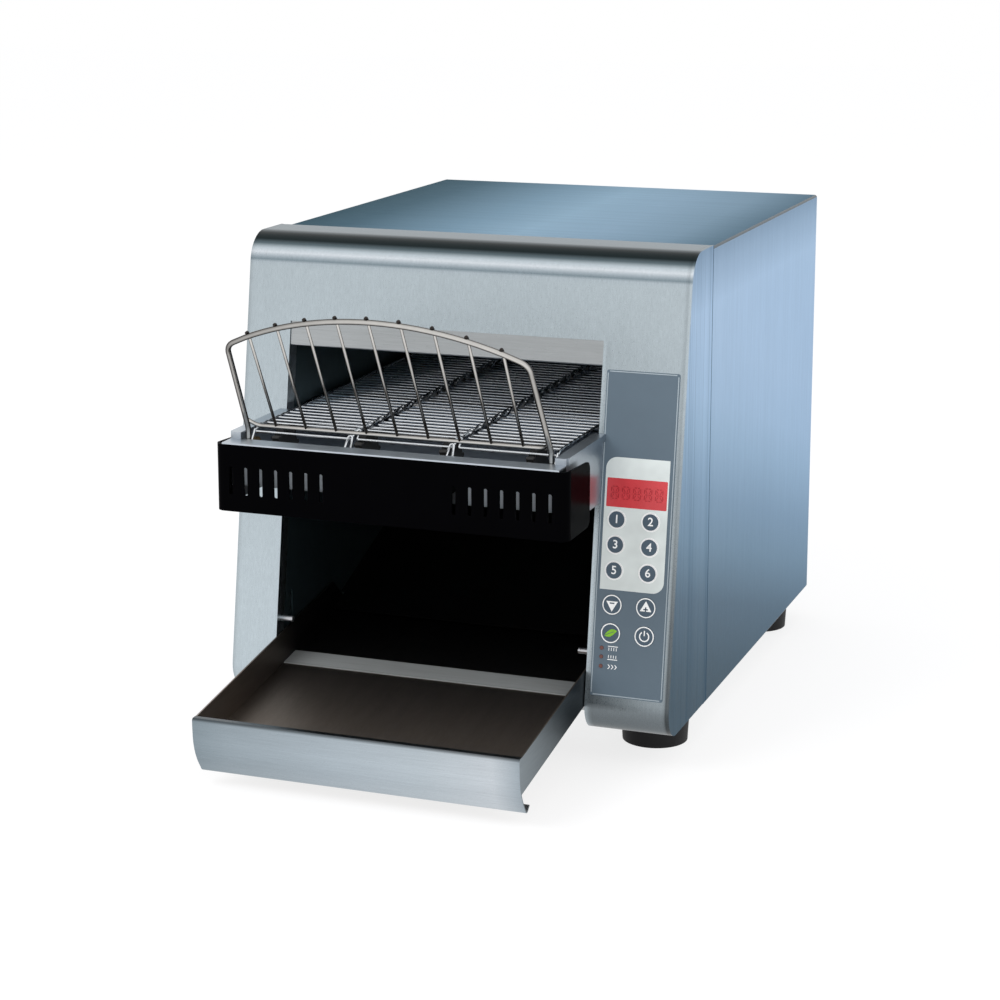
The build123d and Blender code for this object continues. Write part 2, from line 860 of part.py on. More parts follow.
# Nose frame: bright steel round the front end of the conveyor.
cap_proud = 1.5
cap_low = 257.3
nose_gap = overlay_sheet + 0.1
lip_gap = 0.1
with BuildPart() as nose_frame:
    for hand in (-1, 1):
        inner = nose_half - sheet
        with BuildSketch(side(belt_x + hand * (nose_half - sheet / 2))):
            Polygon(
                (-nose_front, nose_lip - nose_strip),
                (-nose_front + 10, nose_bottom),
                (face_y(nose_bottom) - nose_gap, nose_bottom),
                (face_y(nose_top) - nose_gap, nose_top),
                (-nose_front, nose_top),
                align=None,
            )
        extrude(amount=sheet / 2, both=True)
        with BuildSketch(side(belt_x + hand * nose_half)):
            Polygon(
                (-nose_front + 3, cap_low),
                (face_y(cap_low) - nose_gap, cap_low),
                (face_y(nose_top) - nose_gap, nose_top),
                (-nose_front + 3, nose_top),
                align=None,
            )
        extrude(amount=hand * cap_proud)
        with BuildSketch(side(belt_x + hand * (nose_half - nose_ledge))):
            Polygon(
                (-nose_front, ledge_z),
                (face_y(ledge_z) - nose_gap, ledge_z),
                (face_y(nose_top) - nose_gap, nose_top),
                (-nose_front, nose_top),
                align=None,
            )
        extrude(amount=hand * nose_ledge)
        # corner tab up to the ledge
        with BuildSketch(section(-nose_front, belt_x + hand * (nose_half - nose_ledge / 2))):
            with Locations((0, nose_top - 10)):
                Rectangle(nose_ledge, 20)
        extrude(amount=-sheet)
    with BuildSketch(section(-nose_front, belt_x)):
        with Locations((0, nose_lip - nose_strip / 2)):
            Rectangle(2 * nose_half, nose_strip)
    extrude(amount=-sheet)
    # lip turned forward over the cover's top edge
    with BuildSketch(level(cover_bottom + cover_height + lip_gap, belt_x)):
        with Locations((0, (0.1 - cover_front - nose_front + sheet) / 2)):
            Rectangle(2 * nose_half, cover_front - nose_front + sheet - 0.1)
    extrude(amount=sheet)
    # hem behind the lip and flange under the strip, between the rails
    with BuildSketch(side(belt_x - rail_in + 1)):
        with Locations((-nose_front + sheet * 1.5, nose_lip - 4)):
            Rectangle(sheet, 8)
        with Locations((-nose_front + 4, nose_lip - nose_strip + sheet / 2)):
            Rectangle(6, sheet)
    extrude(amount=2 * rail_in - 2)
save(nose_frame, "nose_frame")

# Black front cover: a bent sheet round the nose, on two spacers.
with BuildPart() as front_cover:
    with BuildSketch(level(cover_bottom, belt_x)):
        add(
            bent(
                (
                    (-cover_half, cover_depth - cover_front),
                    (-cover_half, -cover_front),
                    (cover_half, -cover_front),
                    (cover_half, cover_depth - cover_front),
                ),
                cover_corner,
                cover_sheet,
            )
        )
    extrude(amount=cover_height)
    # the side edges fall slightly towards the rear, with rounded rear corners
    with BuildSketch(side(belt_x - cover_half - 1)):
        Polygon(
            (cover_corner - cover_front, cover_bottom + cover_height),
            (cover_depth - cover_front + 1, cover_bottom + cover_height - 2.4),
            (cover_depth - cover_front + 1, cover_bottom + cover_height + 1),
            (cover_corner - cover_front, cover_bottom + cover_height + 1),
            align=None,
        )
    extrude(amount=2 * cover_half + 2, mode=Mode.SUBTRACT)
    ends = front_cover.edges().filter_by(Axis.X).group_by(Axis.Y)[-1]
    fillet(ends, 7)
    with BuildSketch(section(-cover_front, belt_x)) as slots:
        for hand in (-1, 1):
            reach = slot_inner + (slot_count - 1) * slot_pitch / 2
            with Locations((hand * reach, slot_height)):
                with GridLocations(slot_pitch, 1, slot_count, 1):
                    Rectangle(slot_width, slot_length)
        chamfer(slots.vertices(), slot_width * 0.3)
    extrude(amount=-2 * cover_sheet, mode=Mode.SUBTRACT)
    with BuildSketch(section(cover_sheet - cover_front, belt_x)):
        for hand in (-1, 1):
            with Locations((hand * spacer_x, nose_lip - 14)):
                Rectangle(spacer_width, 22)
    extrude(amount=nose_front + cover_sheet - cover_front)
save(front_cover, "front_cover")

# ---------------------------------------------------------------- loading rack
# Legs turn out into the rails, rise to a knee and lean forward; the arch joins them.
knee_y = -rack_pivot_y
knee_z = rack_pivot_z + rack_knee
lean = radians(rack_lean)
arch_half = 112.5
arch_radius = 252.0
arch_corner = 84.0
leg_taper = 3.5
arch_top = arch_corner + 4.5 + arch_radius - (arch_radius**2 - arch_half**2) ** 0.5


def rack_point(across, up, back=0.0):
    """Point of the leaning plane: across the belt, up the slope from the knee, and behind it."""
    y = knee_y - up * sin(lean) + back * cos(lean)
    z = knee_z + up * cos(lean) + back * sin(lean)
    return (belt_x + across, seam_y + y, z)


def arch_up(across):
    """Height of the arch up the slope at a distance from the centre line."""
    return arch_top - arch_radius + (arch_radius**2 - across**2) ** 0.5


def rod(points, radius, wire, sides=0):
    """Wire bent along points, round or with a few flats."""
    with BuildPart() as bar:
        with BuildLine() as path:
            line = FilletPolyline(*points, radius=radius) if len(points) > 2 else Line(*points)
        with BuildSketch(Plane(origin=line @ 0, z_dir=line % 0)):
            if sides:
                RegularPolygon(wire / 2, sides)
            else:
                Circle(wire / 2)
        sweep(path=path.wires()[0])
    return bar.part


pivot_end = rail_out + 1.2
foot_end = (belt_x + pivot_end, seam_y - rack_pivot_y, rack_pivot_z)
foot_bend = (belt_x + rack_half, seam_y - rack_pivot_y, rack_pivot_z)
arc_turn = degrees(asin(arch_half / arch_radius)) / 3
arc_reach = arch_radius / cos(radians(arc_turn))
arc_points = [
    rack_point(
        arc_reach * sin(radians(turn)),
        arch_top - arch_radius + arc_reach * cos(radians(turn)),
    )
    for turn in (2 * arc_turn, 0, -2 * arc_turn)
]
mirrored = lambda p: (2 * belt_x - p[0], p[1], p[2])
frame_points = [foot_end, foot_bend, rack_point(rack_half, 0)]
frame_points += [rack_point(rack_half - leg_taper, arch_corner)]
frame_points += arc_points
frame_points += [mirrored(p) for p in reversed(frame_points[:4])]
frame_radii = [3.5, 8, 12] + [arch_radius - 1] * 3 + [12, 8, 3.5]
with BuildPart() as loading_rack:
    add(rod(frame_points, frame_radii, rack_rod))
    back = 3.3
    for k in range(rack_wires):
        x = (k - (rack_wires - 1) / 2) * rack_pitch
        top = min(arch_up(x) + 2.5, arch_up(0) + 1.5)
        add(rod([rack_point(x, 1.0, back), rack_point(x, top, back)], None, rack_wire, 6))
    low = 1.2
    bar = [
        rack_point(rack_half, 9, 1),
        rack_point(arch_half, low, back),
        rack_point(-arch_half, low, back),
        rack_point(-rack_half, 9, 1),
    ]
    add(rod(bar, 5, rack_bar, 8))
save(loading_rack, "loading_rack")

# ---------------------------------------------------------------- tray and chute
tray_half = opening_half - tray_gap
fall = radians(tray_fall)
floor_front = tray_front - 2.2
with BuildPart() as product_tray:
    # floor
    with BuildSketch(side(belt_x - tray_half)):
        Polygon(
            (-floor_front, tray_z(-floor_front)),
            (tray_rear, tray_z(tray_rear)),
            (tray_rear, tray_z(tray_rear) + sheet),
            (-floor_front, tray_z(-floor_front) + sheet),
            align=None,
        )
        add(
            bent(
                (
                    (-tray_front + 4, tray_front_z + tray_wall + 1),
                    (-tray_front - 2, tray_front_z + tray_wall + 1),
                    (-tray_front - 1, tray_front_z + 2),
                    (-tray_front + 14, tray_front_z - 19.7),
                    (-tray_front + 20.5, tray_front_z - 14),
                ),
                (2, 50, 4),
                sheet,
            )
        )
    extrude(amount=2 * tray_half)
    for hand in (-1, 1):
        with BuildSketch(side(belt_x + hand * (tray_half - sheet / 2))):
            Polygon(
                (-floor_front, tray_z(-floor_front)),
                (tray_rear, tray_z(tray_rear)),
                (tray_rear, tray_z(tray_rear) + 8),
                (tray_rear - 20, tray_z(tray_rear - 20) + tray_wall),
                (-tray_front - 1.6, tray_front_z + tray_wall),
                (-tray_front - 0.6, tray_front_z + 11),
                align=None,
            )
        extrude(amount=sheet / 2, both=True)
save(product_tray, "product_tray")

chute_low = tray_z(chute_start) + 2 * sheet + 1.6
chute_high = chute_low + (chute_rear - chute_start) * tan(radians(chute_fall))
chute_radius = (chute_top - chute_high) * 1.393
with BuildPart() as discharge_chute:
    with BuildSketch(side(belt_x - wall_in)):
        add(
            bent(
                (
                    (chute_start, chute_low),
                    (chute_rear, chute_high),
                    (chute_rear, chute_top),
                ),
                chute_radius,
                sheet,
            )
        )
    extrude(amount=2 * wall_in)
    with BuildSketch(section(chute_rear, belt_x)):
        with Locations((0, chute_top - 6)):
            Rectangle(2 * wall_in, chute_edge)
    extrude(amount=chute_rear - rear_face)
    # narrower front end between the tray's side walls
    for hand in (-1, 1):
        with BuildSketch(level(chute_low - 10, belt_x + hand * (tray_half + 3))):
            with Locations((0, (chute_start + tray_rear) / 2)):
                Rectangle(10, tray_rear - chute_start + 6)
        extrude(amount=40, mode=Mode.SUBTRACT)
save(discharge_chute, "discharge_chute")

# ---------------------------------------------------------------- drive
# Roller chain between two equal wheels: inner links with rollers, outer plates beside them.
chain_heading = -112.0
chain_run = chain_links * chain_pitch
gear_y = rear_axis + chain_run * cos(radians(chain_heading))
gear_z = axis_height + chain_run * sin(radians(chain_heading))
chain_radius = chain_pitch / (2 * sin(radians(180 / chain_teeth)))
chain_planes = loop_planes(
    chain_x, (rear_axis, axis_height), chain_heading, chain_links, chain_pitch, chain_teeth
)
with BuildPart() as inner_link:
    with BuildSketch(Plane.YZ):
        with Locations((0, 0), (chain_pitch, 0)):
            RegularPolygon(roller_radius, 6)
    extrude(amount=chain_inner / 2, both=True)
    for hand in (-1, 1):
        with BuildSketch(Plane.YZ.offset(hand * (chain_inner + chain_plate) / 2)):
            with Locations((chain_pitch / 2, 0)):
                Rectangle(chain_pitch + 6, 6)
        extrude(amount=chain_plate / 2, both=True)
with BuildPart() as outer_link:
    for hand in (-1, 1):
        with BuildSketch(Plane.YZ.offset(hand * (chain_inner / 2 + chain_plate * 1.5))):
            with Locations((chain_pitch / 2, 0)):
                Rectangle(chain_pitch + 6, 6)
        extrude(amount=chain_plate / 2, both=True)
links = [
    plane.location * (outer_link.part if index % 2 else inner_link.part)
    for index, plane in enumerate(chain_planes)
]
drive_chain = Compound(label="drive_chain", children=links)
export_step(drive_chain, "parts/drive_chain.step")

chain_seat = chain_radius - roller_radius - 0.2
chain_gap = 8.0
output_reach = 12.0
for name, y, z in (("chain_wheel", rear_axis, axis_height), ("motor_sprocket", gear_y, gear_z)):
    with BuildPart() as wheel:
        with BuildSketch(side(chain_x)):
            with Locations(Location((y, z, 0), chain_heading + 90)):
                add(toothed_outline(chain_teeth, chain_seat, chain_radius + 3, 4.4, 1.6))
        extrude(amount=chain_inner / 2 - 0.2, both=True)
        with BuildSketch(side(chain_x)):
            with Locations((y, z)):
                Circle(9)
        extrude(amount=6)
        with BuildSketch(side(chain_x - 4)):
            with Locations((y, z)):
                Circle(journal_radius)
        if name == "chain_wheel":
            extrude(amount=14, mode=Mode.SUBTRACT)
        else:
            extrude(amount=4 + chain_gap + output_reach)
    save(wheel, name)

gear_x = chain_x + chain_gap
gear_size = (half_inside - gear_x - 7.2, 48.0, 48.0)
motor_radius = gear_size[0] / 2 + 3
motor_x = gear_x + gear_size[0] / 2
motor_start = gear_y - gear_size[1] / 2
with BuildPart() as gearbox:
    with BuildSketch(side(gear_x)):
        with Locations((gear_y, gear_z)):
            RectangleRounded(gear_size[1], gear_size[2], 5)
    extrude(amount=gear_size[0])
    with BuildSketch(side(gear_x)):
        with Locations((gear_y, gear_z)):
            Circle(journal_radius + running)
    extrude(amount=output_reach + 1, mode=Mode.SUBTRACT)
save(gearbox, "gearbox")

with BuildPart() as motor:
    with BuildSketch(section(motor_start, motor_x)):
        with Locations((0, gear_z)):
            Circle(motor_radius)
    extrude(amount=motor_length)
    with BuildSketch(section(motor_start - motor_length, motor_x)):
        with Locations((0, gear_z)):
            Circle(9)
    extrude(amount=5)
save(motor, "motor")

with BuildPart() as motor_bracket:
    low = gear_z - gear_size[2] / 2 - sheet * 2
    with BuildSketch(section(gear_y, gear_x + gear_size[0] / 2)):
        add(
            bent(
                (
                    (-gear_size[0] / 2 - 6, floor_z + sheet * 2),
                    (-gear_size[0] / 2 + 4, floor_z + sheet * 2),
                    (-gear_size[0] / 2 + 4, low + sheet * 2),
                    (gear_size[0] / 2 - 4, low + sheet * 2),
                    (gear_size[0] / 2 - 4, floor_z + sheet * 2),
                    (gear_size[0] / 2 + 4, floor_z + sheet * 2),
                ),
                3.5,
                sheet * 2,
                Side.RIGHT,
            )
        )
    extrude(amount=gear_size[1] / 2, both=True)
save(motor_bracket, "motor_bracket")

# ---------------------------------------------------------------- controls
with BuildPart() as control_overlay:
    with BuildSketch(panel()):
        with Locations((overlay_x, overlay_low + overlay_height / 2)):
            RectangleRounded(overlay_width, overlay_height, 1.5)
        for x, v, radius in key_places:
            with Locations((x, v)):
                RegularPolygon(radius + key_gap, 16, mode=Mode.SUBTRACT)
        for v in lamp_rows:
            with Locations((lamp_x, v)):
                RegularPolygon(lamp_radius + key_gap, 8, mode=Mode.SUBTRACT)
        with Locations((window_x, window_v)):
            Rectangle(window_width, window_height, mode=Mode.SUBTRACT)
    extrude(amount=overlay_sheet)
save(control_overlay, "control_overlay")

with BuildPart() as display_window:
    with BuildSketch(panel(overlay_sheet)):
        with Locations((window_x, window_v)):
            Rectangle(window_width, window_height)
    extrude(amount=-overlay_sheet - 2 * sheet)
    with BuildSketch(panel(-sheet)):
        with Locations((window_x, window_v)):
            Rectangle(window_width + 4, window_height + 2)
    extrude(amount=-2)
save(display_window, "display_window")

dome_top = -5.4
key_names = ["key_1", "key_2", "key_3", "key_4", "key_5", "key_6"]
key_names += ["key_down", "key_up", "key_eco", "key_power"]
for name, (x, v, radius) in zip(key_names, key_places):
    with BuildPart() as key:
        with BuildSketch(panel(overlay_sheet + key_proud)):
            with Locations((x, v)):
                Circle(radius)
        extrude(amount=-overlay_sheet - key_proud - sheet)
        with BuildSketch(panel(-sheet)):
            with Locations((x, v)):
                RegularPolygon(radius + 1.4, 8)
        extrude(amount=-1)
        with BuildSketch(panel(-sheet)):
            with Locations((x, v)):
                Rectangle(4, 4)
        extrude(amount=sheet + dome_top + key_travel + 0.05)
    save(key, name)

board_front = -board_depth
board_middle = overlay_low + overlay_height / 2 - 14
board_size = (overlay_width - 8.8, overlay_height - 40.3)
with BuildPart() as control_board:
    with BuildSketch(panel(board_front)):
        with Locations((overlay_x, board_middle)):
            Rectangle(*board_size)
    extrude(amount=-1.6)
    # display module behind the window
    with BuildSketch(panel(board_front)):
        with Locations((window_x, window_v)):
            Rectangle(window_width - 4.6, window_height - 2.5)
    extrude(amount=board_depth - sheet - 2)
save(control_board, "control_board")

standoff_x = board_size[0] / 2 - 2.5
standoff_grid = [(hand * standoff_x, v) for hand in (-1, 1) for v in (-102.0, -27.5, 103.0)]
with BuildPart() as board_standoffs:
    with BuildSketch(panel(-sheet)):
        with Locations(*[(overlay_x + x, board_middle + v) for x, v in standoff_grid]):
            RegularPolygon(2.2, 6)
    extrude(amount=board_front + sheet)
save(board_standoffs, "board_standoffs")

with BuildPart() as dome_switches:
    with BuildSketch(panel(board_front)):
        for x, v, radius in key_places:
            with Locations((x, v)):
                Rectangle(7, 7)
    extrude(amount=board_depth + dome_top - 1)
    with BuildSketch(panel(dome_top)):
        for x, v, radius in key_places:
            with Locations((x, v)):
                Rectangle(3.4, 3.4)
    extrude(amount=-1)
save(dome_switches, "dome_switches")

with BuildPart() as indicator_lamps:
    with BuildSketch(panel(board_front)):
        for v in lamp_rows:
            with Locations((lamp_x, v)):
                Circle(lamp_radius)
    extrude(amount=board_depth + overlay_sheet + 0.3)
save(indicator_lamps, "indicator_lamps")

with BuildPart() as relays:
    with BuildSketch(panel(board_front - 1.6)):
        with Locations((overlay_x, board_middle - 20)):
            with GridLocations(1, 34, 1, 2):
                Rectangle(20, 28)
    extrude(amount=-16)
save(relays, "relays")

# ---------------------------------------------------------------- rear fittings
block_y = body_depth - 68.5
with BuildPart() as terminal_block:
    with BuildSketch(level(floor_z, bay_x)):
        with Locations((0, block_y)):
            Rectangle(20, 56)
    extrude(amount=12)
    with BuildSketch(level(floor_z + 12, bay_x)):
        with Locations((0, block_y)):
            Rectangle(8, 56)
            with GridLocations(1, 10, 1, 5):
                Rectangle(8, 6, mode=Mode.SUBTRACT)
    extrude(amount=5)
save(terminal_block, "terminal_block")

thermostat_place = ((front_axis + rear_axis) / 2 + 53.3, upper_z - 41)
with BuildPart() as thermostat:
    with BuildSketch(side(belt_x - wall_out)):
        with Locations(thermostat_place):
            Circle(11)
    extrude(amount=-9)
    with BuildSketch(side(belt_x - wall_out - 9)):
        with Locations(thermostat_place):
            with GridLocations(12, 1, 2, 1):
                Rectangle(1, 6)
    extrude(amount=-8)
save(thermostat, "thermostat")

fan_depth = 25.0
fan_bore = fan_side / 2 - 2
fan_hub = fan_bore * 0.43
fan_face = section(rear_face, fan_x)
with BuildPart() as fan_housing:
    with BuildSketch(fan_face):
        with Locations((0, fan_z)):
            Rectangle(fan_side, fan_side)
            Circle(fan_bore, mode=Mode.SUBTRACT)
    extrude(amount=fan_depth)
    with BuildSketch(section(rear_face - fan_depth, fan_x)):
        with Locations((0, fan_z)):
            Circle(fan_hub + 1)
            with PolarLocations(0, 3):
                Rectangle(fan_bore + 1, 4, align=(Align.MIN, Align.CENTER))
    extrude(amount=-2)
    with BuildSketch(section(rear_face - fan_depth + 2, fan_x)):
        with Locations((0, fan_z)):
            Circle(1.5)
    extrude(amount=-14)
save(fan_housing, "fan_housing")

blade_count = 5
blade_twist = 30.0
fan_middle = rear_face - fan_depth / 2 + 1
with BuildPart() as fan_rotor:
    with BuildSketch(section(fan_middle + 8, fan_x)):
        with Locations((0, fan_z)):
            Circle(fan_hub)
    extrude(amount=16)
    with Locations(section(fan_middle, fan_x) * Location((0, fan_z, 0))):
        with PolarLocations(0, blade_count):
            with Locations(Location((fan_bore * 0.66, 0, 0), (blade_twist, 0, 0))):
                Box(fan_bore * 0.52, fan_bore * 0.57, 1.4)
    with BuildSketch(section(fan_middle + 9, fan_x)):
        with Locations((0, fan_z)):
            Circle(1.55)
    extrude(amount=18, mode=Mode.SUBTRACT)
save(fan_rotor, "fan_rotor")

with BuildPart() as fan_guard:
    with BuildSketch(section(body_depth - sheet_gap, fan_x)):
        with Locations((0, fan_z)):
            for ring in (fan_bore, fan_bore * 0.68, fan_bore * 0.36):
                RegularPolygon(ring, 16)
                RegularPolygon(ring - 1.6, 16, mode=Mode.SUBTRACT)
            with PolarLocations(0, 4, start_angle=45):
                with Locations((fan_bore * 0.8, 0)):
                    Rectangle(fan_bore, 2)
                with Locations((fan_bore * 1.2, 0)):
                    RegularPolygon(3.2, 6)
    extrude(amount=-2)
save(fan_guard, "fan_guard")

with BuildPart() as cord_gland:
    with BuildSketch(section(body_depth - sheet_gap, gland_x)):
        with Locations((0, gland_z)):
            RegularPolygon(14, 6)
    extrude(amount=-5)
    with BuildSketch(section(body_depth + 9, gland_x)):
        with Locations((0, gland_z)):
            Circle(gland_radius - running)
    extrude(amount=24)
    with BuildSketch(section(rear_face, gland_x)):
        with Locations((0, gland_z)):
            RegularPolygon(14, 6)
    extrude(amount=4)
    with BuildSketch(section(body_depth + 10, gland_x)):
        with Locations((0, gland_z)):
            Circle(5)
    extrude(amount=30, mode=Mode.SUBTRACT)
save(cord_gland, "cord_gland")

screw_x = wall_out + wall_flange / 2
with BuildPart() as panel_screws:
    for hand in (-1, 1):
        with BuildSketch(section(body_depth - sheet_gap, belt_x + hand * screw_x)):
            with Locations(*[(0, z) for z in screw_rows]):
                RegularPolygon(3.2, 6)
        extrude(amount=-2)
        with BuildSketch(section(body_depth - sheet_gap, belt_x + hand * screw_x)):
            with Locations(*[(0, z) for z in screw_rows]):
                RegularPolygon(screw_radius, 6)
        extrude(amount=2 * sheet)
save(panel_screws, "panel_screws")
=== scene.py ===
"""Looks of the conveyor toaster: finishes for every CAD node, round-wire belt and rack, printed
control marks, a pale studio and the camera. Sizes are in millimetres, with depths counted from
the seam between front panel and wrap, as in the part's source; the studio is in metres."""

import math

import bmesh
import bpy
from mathutils import Matrix, Vector


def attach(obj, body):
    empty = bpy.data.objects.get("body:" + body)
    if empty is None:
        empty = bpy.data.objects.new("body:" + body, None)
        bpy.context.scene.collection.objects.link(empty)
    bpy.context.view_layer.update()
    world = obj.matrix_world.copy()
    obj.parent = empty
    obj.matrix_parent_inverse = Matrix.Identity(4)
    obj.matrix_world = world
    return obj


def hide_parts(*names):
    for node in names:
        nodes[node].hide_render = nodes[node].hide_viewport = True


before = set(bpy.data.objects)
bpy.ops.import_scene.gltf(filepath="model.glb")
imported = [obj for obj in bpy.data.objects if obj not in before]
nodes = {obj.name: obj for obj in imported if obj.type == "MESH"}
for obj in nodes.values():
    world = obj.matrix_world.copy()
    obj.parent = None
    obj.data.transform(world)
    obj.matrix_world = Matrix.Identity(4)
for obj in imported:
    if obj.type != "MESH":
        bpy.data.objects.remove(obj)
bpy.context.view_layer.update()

# ---------------------------------------------------------------- sizes shared with the CAD
MM = 0.001
SEAM_Y = -59.75
BELT_X = -15.0
FRONT_AXIS = -143.5
AXIS_Z = 243.0
PITCH = 10.6
TEETH = 12
LINKS = 34
BELT_HALF = 126.0
BELT_RADIUS = PITCH / (2 * math.sin(math.radians(180 / TEETH)))
LEAN = math.radians(8.53)
FRONT_TOP = 403.0
FRONT_BROW = -57.1
FRONT_BOTTOM = 29.0
CURL_RADIUS = 22.0
BROW_RADIUS = 26.0
BROW_Y = FRONT_BROW + BROW_RADIUS * math.tan((math.pi / 2 - LEAN) / 2)
BROW_Z = FRONT_TOP - BROW_RADIUS
PANEL_LOW = FRONT_BOTTOM + CURL_RADIUS * (1 + math.sin(LEAN)) / math.cos(LEAN)


def at(x, y, z):
    """Point of the frame, in metres, from millimetres with the depth counted from the seam."""
    return Vector((x * MM, (SEAM_Y + y) * MM, z * MM))


def face_y(z):
    """Depth of the slanted face's outer surface at height z."""
    return FRONT_BROW - (FRONT_TOP - z) * math.tan(LEAN)


def on_panel(x, v, out):
    """Point on the slanted face: x across, v up the face and out along its normal."""
    y = face_y(PANEL_LOW) + v * math.sin(LEAN) - out * math.cos(LEAN)
    z = PANEL_LOW + v * math.cos(LEAN) + out * math.sin(LEAN)
    return at(x, y, z)


def on_circle(x, y, radius, degrees):
    """Point of a flat circle."""
    turn = math.radians(degrees)
    return (x + radius * math.cos(turn), y + radius * math.sin(turn))


# ---------------------------------------------------------------- colours
SIDE_EDGE = (0.35, 0.52, 0.72)
LID_EDGE = (0.25, 0.40, 0.50)
DARKEST_PAINT = 0.012


def tone(red, green, blue):
    """Linear colour from display values 0 to 255."""
    out = []
    for value in (red, green, blue):
        share = value / 255
        out.append(share / 12.92 if share <= 0.04045 else ((share + 0.055) / 1.055) ** 2.4)
    return tuple(out)


def side_tone(red, green, blue, gains=(0.577, 0.611, 0.651), lifts=(-0.011, 0.026, 0.069)):
    """Paint that shows a display colour on a side seen at a low angle, with SIDE_EDGE."""
    channels = zip(tone(red, green, blue), gains, lifts)
    return tuple(
        min(1.0, max(DARKEST_PAINT, (value - lift) / gain)) for value, gain, lift in channels
    )


def lid_tone(red, green, blue):
    """The same for the lid, with LID_EDGE."""
    return side_tone(red, green, blue, (0.328, 0.403, 0.453), (0.036, 0.067, 0.088))


def grey(value):
    return (value, value, value)


def spotted(color, spots):
    """Darker and lighter neighbour of a colour."""
    dark = tuple(channel * (1 - spots) for channel in color)
    light = tuple(min(1.0, channel * (1 + spots)) for channel in color)
    return dark, light


# ---------------------------------------------------------------- node materials
# spans of a noise's value: nearly all of it, and the narrower one over which spots change
NOISE_SPAN = (0.3, 0.7)
SPOT_SPAN = (0.35, 0.65)


class Shader:
    """Small helper that builds one node material."""

    def __init__(self, name):
        self.material = bpy.data.materials.new(name)
        self.material.use_nodes = True
        self.tree = self.material.node_tree
        self.bsdf = self.tree.nodes["Principled BSDF"]

    def node(self, kind, **settings):
        made = self.tree.nodes.new(kind)
        for key, value in settings.items():
            setattr(made, key, value)
        return made

    def link(self, source, target):
        self.tree.links.new(source, target)

    def set(self, **values):
        """Plain values for sockets of the surface shader, with _ for a space in their names."""
        for name, value in values.items():
            self.bsdf.inputs[name.replace("_", " ")].default_value = value

    def noise(self, scale, detail=3.0, rough=0.6):
        texture = self.node("ShaderNodeTexNoise")
        texture.inputs["Scale"].default_value = 1.0
        texture.inputs["Detail"].default_value = detail
        texture.inputs["Roughness"].default_value = rough
        source = self.node("ShaderNodeTexCoord")
        mapping = self.node("ShaderNodeMapping")
        mapping.inputs["Scale"].default_value = scale
        self.link(source.outputs["Object"], mapping.inputs["Vector"])
        self.link(mapping.outputs["Vector"], texture.inputs["Vector"])
        return texture.outputs["Fac"]

    def spread(self, value, low, high, start, end):
        """A value that runs from start to end, turned into low to high and kept between them."""
        made = self.node("ShaderNodeMapRange")
        made.inputs["From Min"].default_value = start
        made.inputs["From Max"].default_value = end
        made.inputs["To Min"].default_value = low
        made.inputs["To Max"].default_value = high
        self.link(value, made.inputs["Value"])
        return made.outputs["Result"]

    def ramp(self, value, *stops):
        """Colour ramp; the stops are (share, colour)."""
        made = self.node("ShaderNodeValToRGB")
        ramp = made.color_ramp
        while len(ramp.elements) < len(stops):
            ramp.elements.new(0.5)
        for element, (share, color) in zip(ramp.elements, stops):
            element.position = share
            element.color = (*color, 1)
        self.link(value, made.inputs["Fac"])
        return made.outputs["Color"]

    def fade(self, value, span, first, second):
        """Colour that goes from the first to the second over a span of the value."""
        return self.ramp(value, (span[0], first), (span[1], second))

    def place(self, axis):
        """One coordinate of the surface point in millimetres, the depth counted from the seam."""
        source = self.node("ShaderNodeTexCoord")
        split = self.node("ShaderNodeSeparateXYZ")
        self.link(source.outputs["Object"], split.inputs["Vector"])
        value = self.compute("MULTIPLY", split.outputs["XYZ".index(axis)], 1 / MM)
        return self.compute("SUBTRACT", value, SEAM_Y) if axis == "Y" else value

    def compute(self, operation, first, second):
        made = self.node("ShaderNodeMath", operation=operation)
        for socket, value in zip(made.inputs, (first, second)):
            if isinstance(value, (int, float)):
                socket.default_value = value
            else:
                self.link(value, socket)
        return made.outputs["Value"]

    def stretch(self, value, stops):
        """Colour ramp over a value's own range; the stops are (value, linear colour)."""
        low, high = stops[0][0], stops[-1][0]
        share = self.spread(value, 0.0, 1.0, low, high)
        return self.ramp(share, *(((stop - low) / (high - low), color) for stop, color in stops))

    def along(self, value, stops, paint=tone):
        """Colour that changes along a value; the stops are (value, display colour)."""
        return self.stretch(value, [(stop, paint(*color)) for stop, color in stops])

    def shade(self, value, *stops):
        """Grey factor that changes along a value; the stops are (value, factor)."""
        return self.stretch(value, [(stop, grey(factor)) for stop, factor in stops])

    def mix(self, factor, first, second, blend="MIX"):
        made = self.node("ShaderNodeMix", data_type="RGBA", blend_type=blend)
        for name, value in (("Factor", factor), ("A", first), ("B", second)):
            socket = [s for s in made.inputs if s.name == name and s.enabled][0]
            if isinstance(value, (int, float)):
                socket.default_value = value
            elif isinstance(value, tuple):
                socket.default_value = (*value, 1)
            else:
                self.link(value, socket)
        return [s for s in made.outputs if s.enabled][0]

    def multiply(self, first, *factors):
        for factor in factors:
            first = self.mix(1.0, first, factor, "MULTIPLY")
        return first

    def color(self, source):
        self.link(source, self.bsdf.inputs["Base Color"])

    def rough(self, value, low, high):
        """Roughness that follows a noise."""
        self.link(self.spread(value, low, high, *NOISE_SPAN), self.bsdf.inputs["Roughness"])

    def bump(self, height, strength, distance):
        made = self.node("ShaderNodeBump")
        made.inputs["Strength"].default_value = strength
        made.inputs["Distance"].default_value = distance
        self.link(height, made.inputs["Height"])
        self.link(made.outputs["Normal"], self.bsdf.inputs["Normal"])


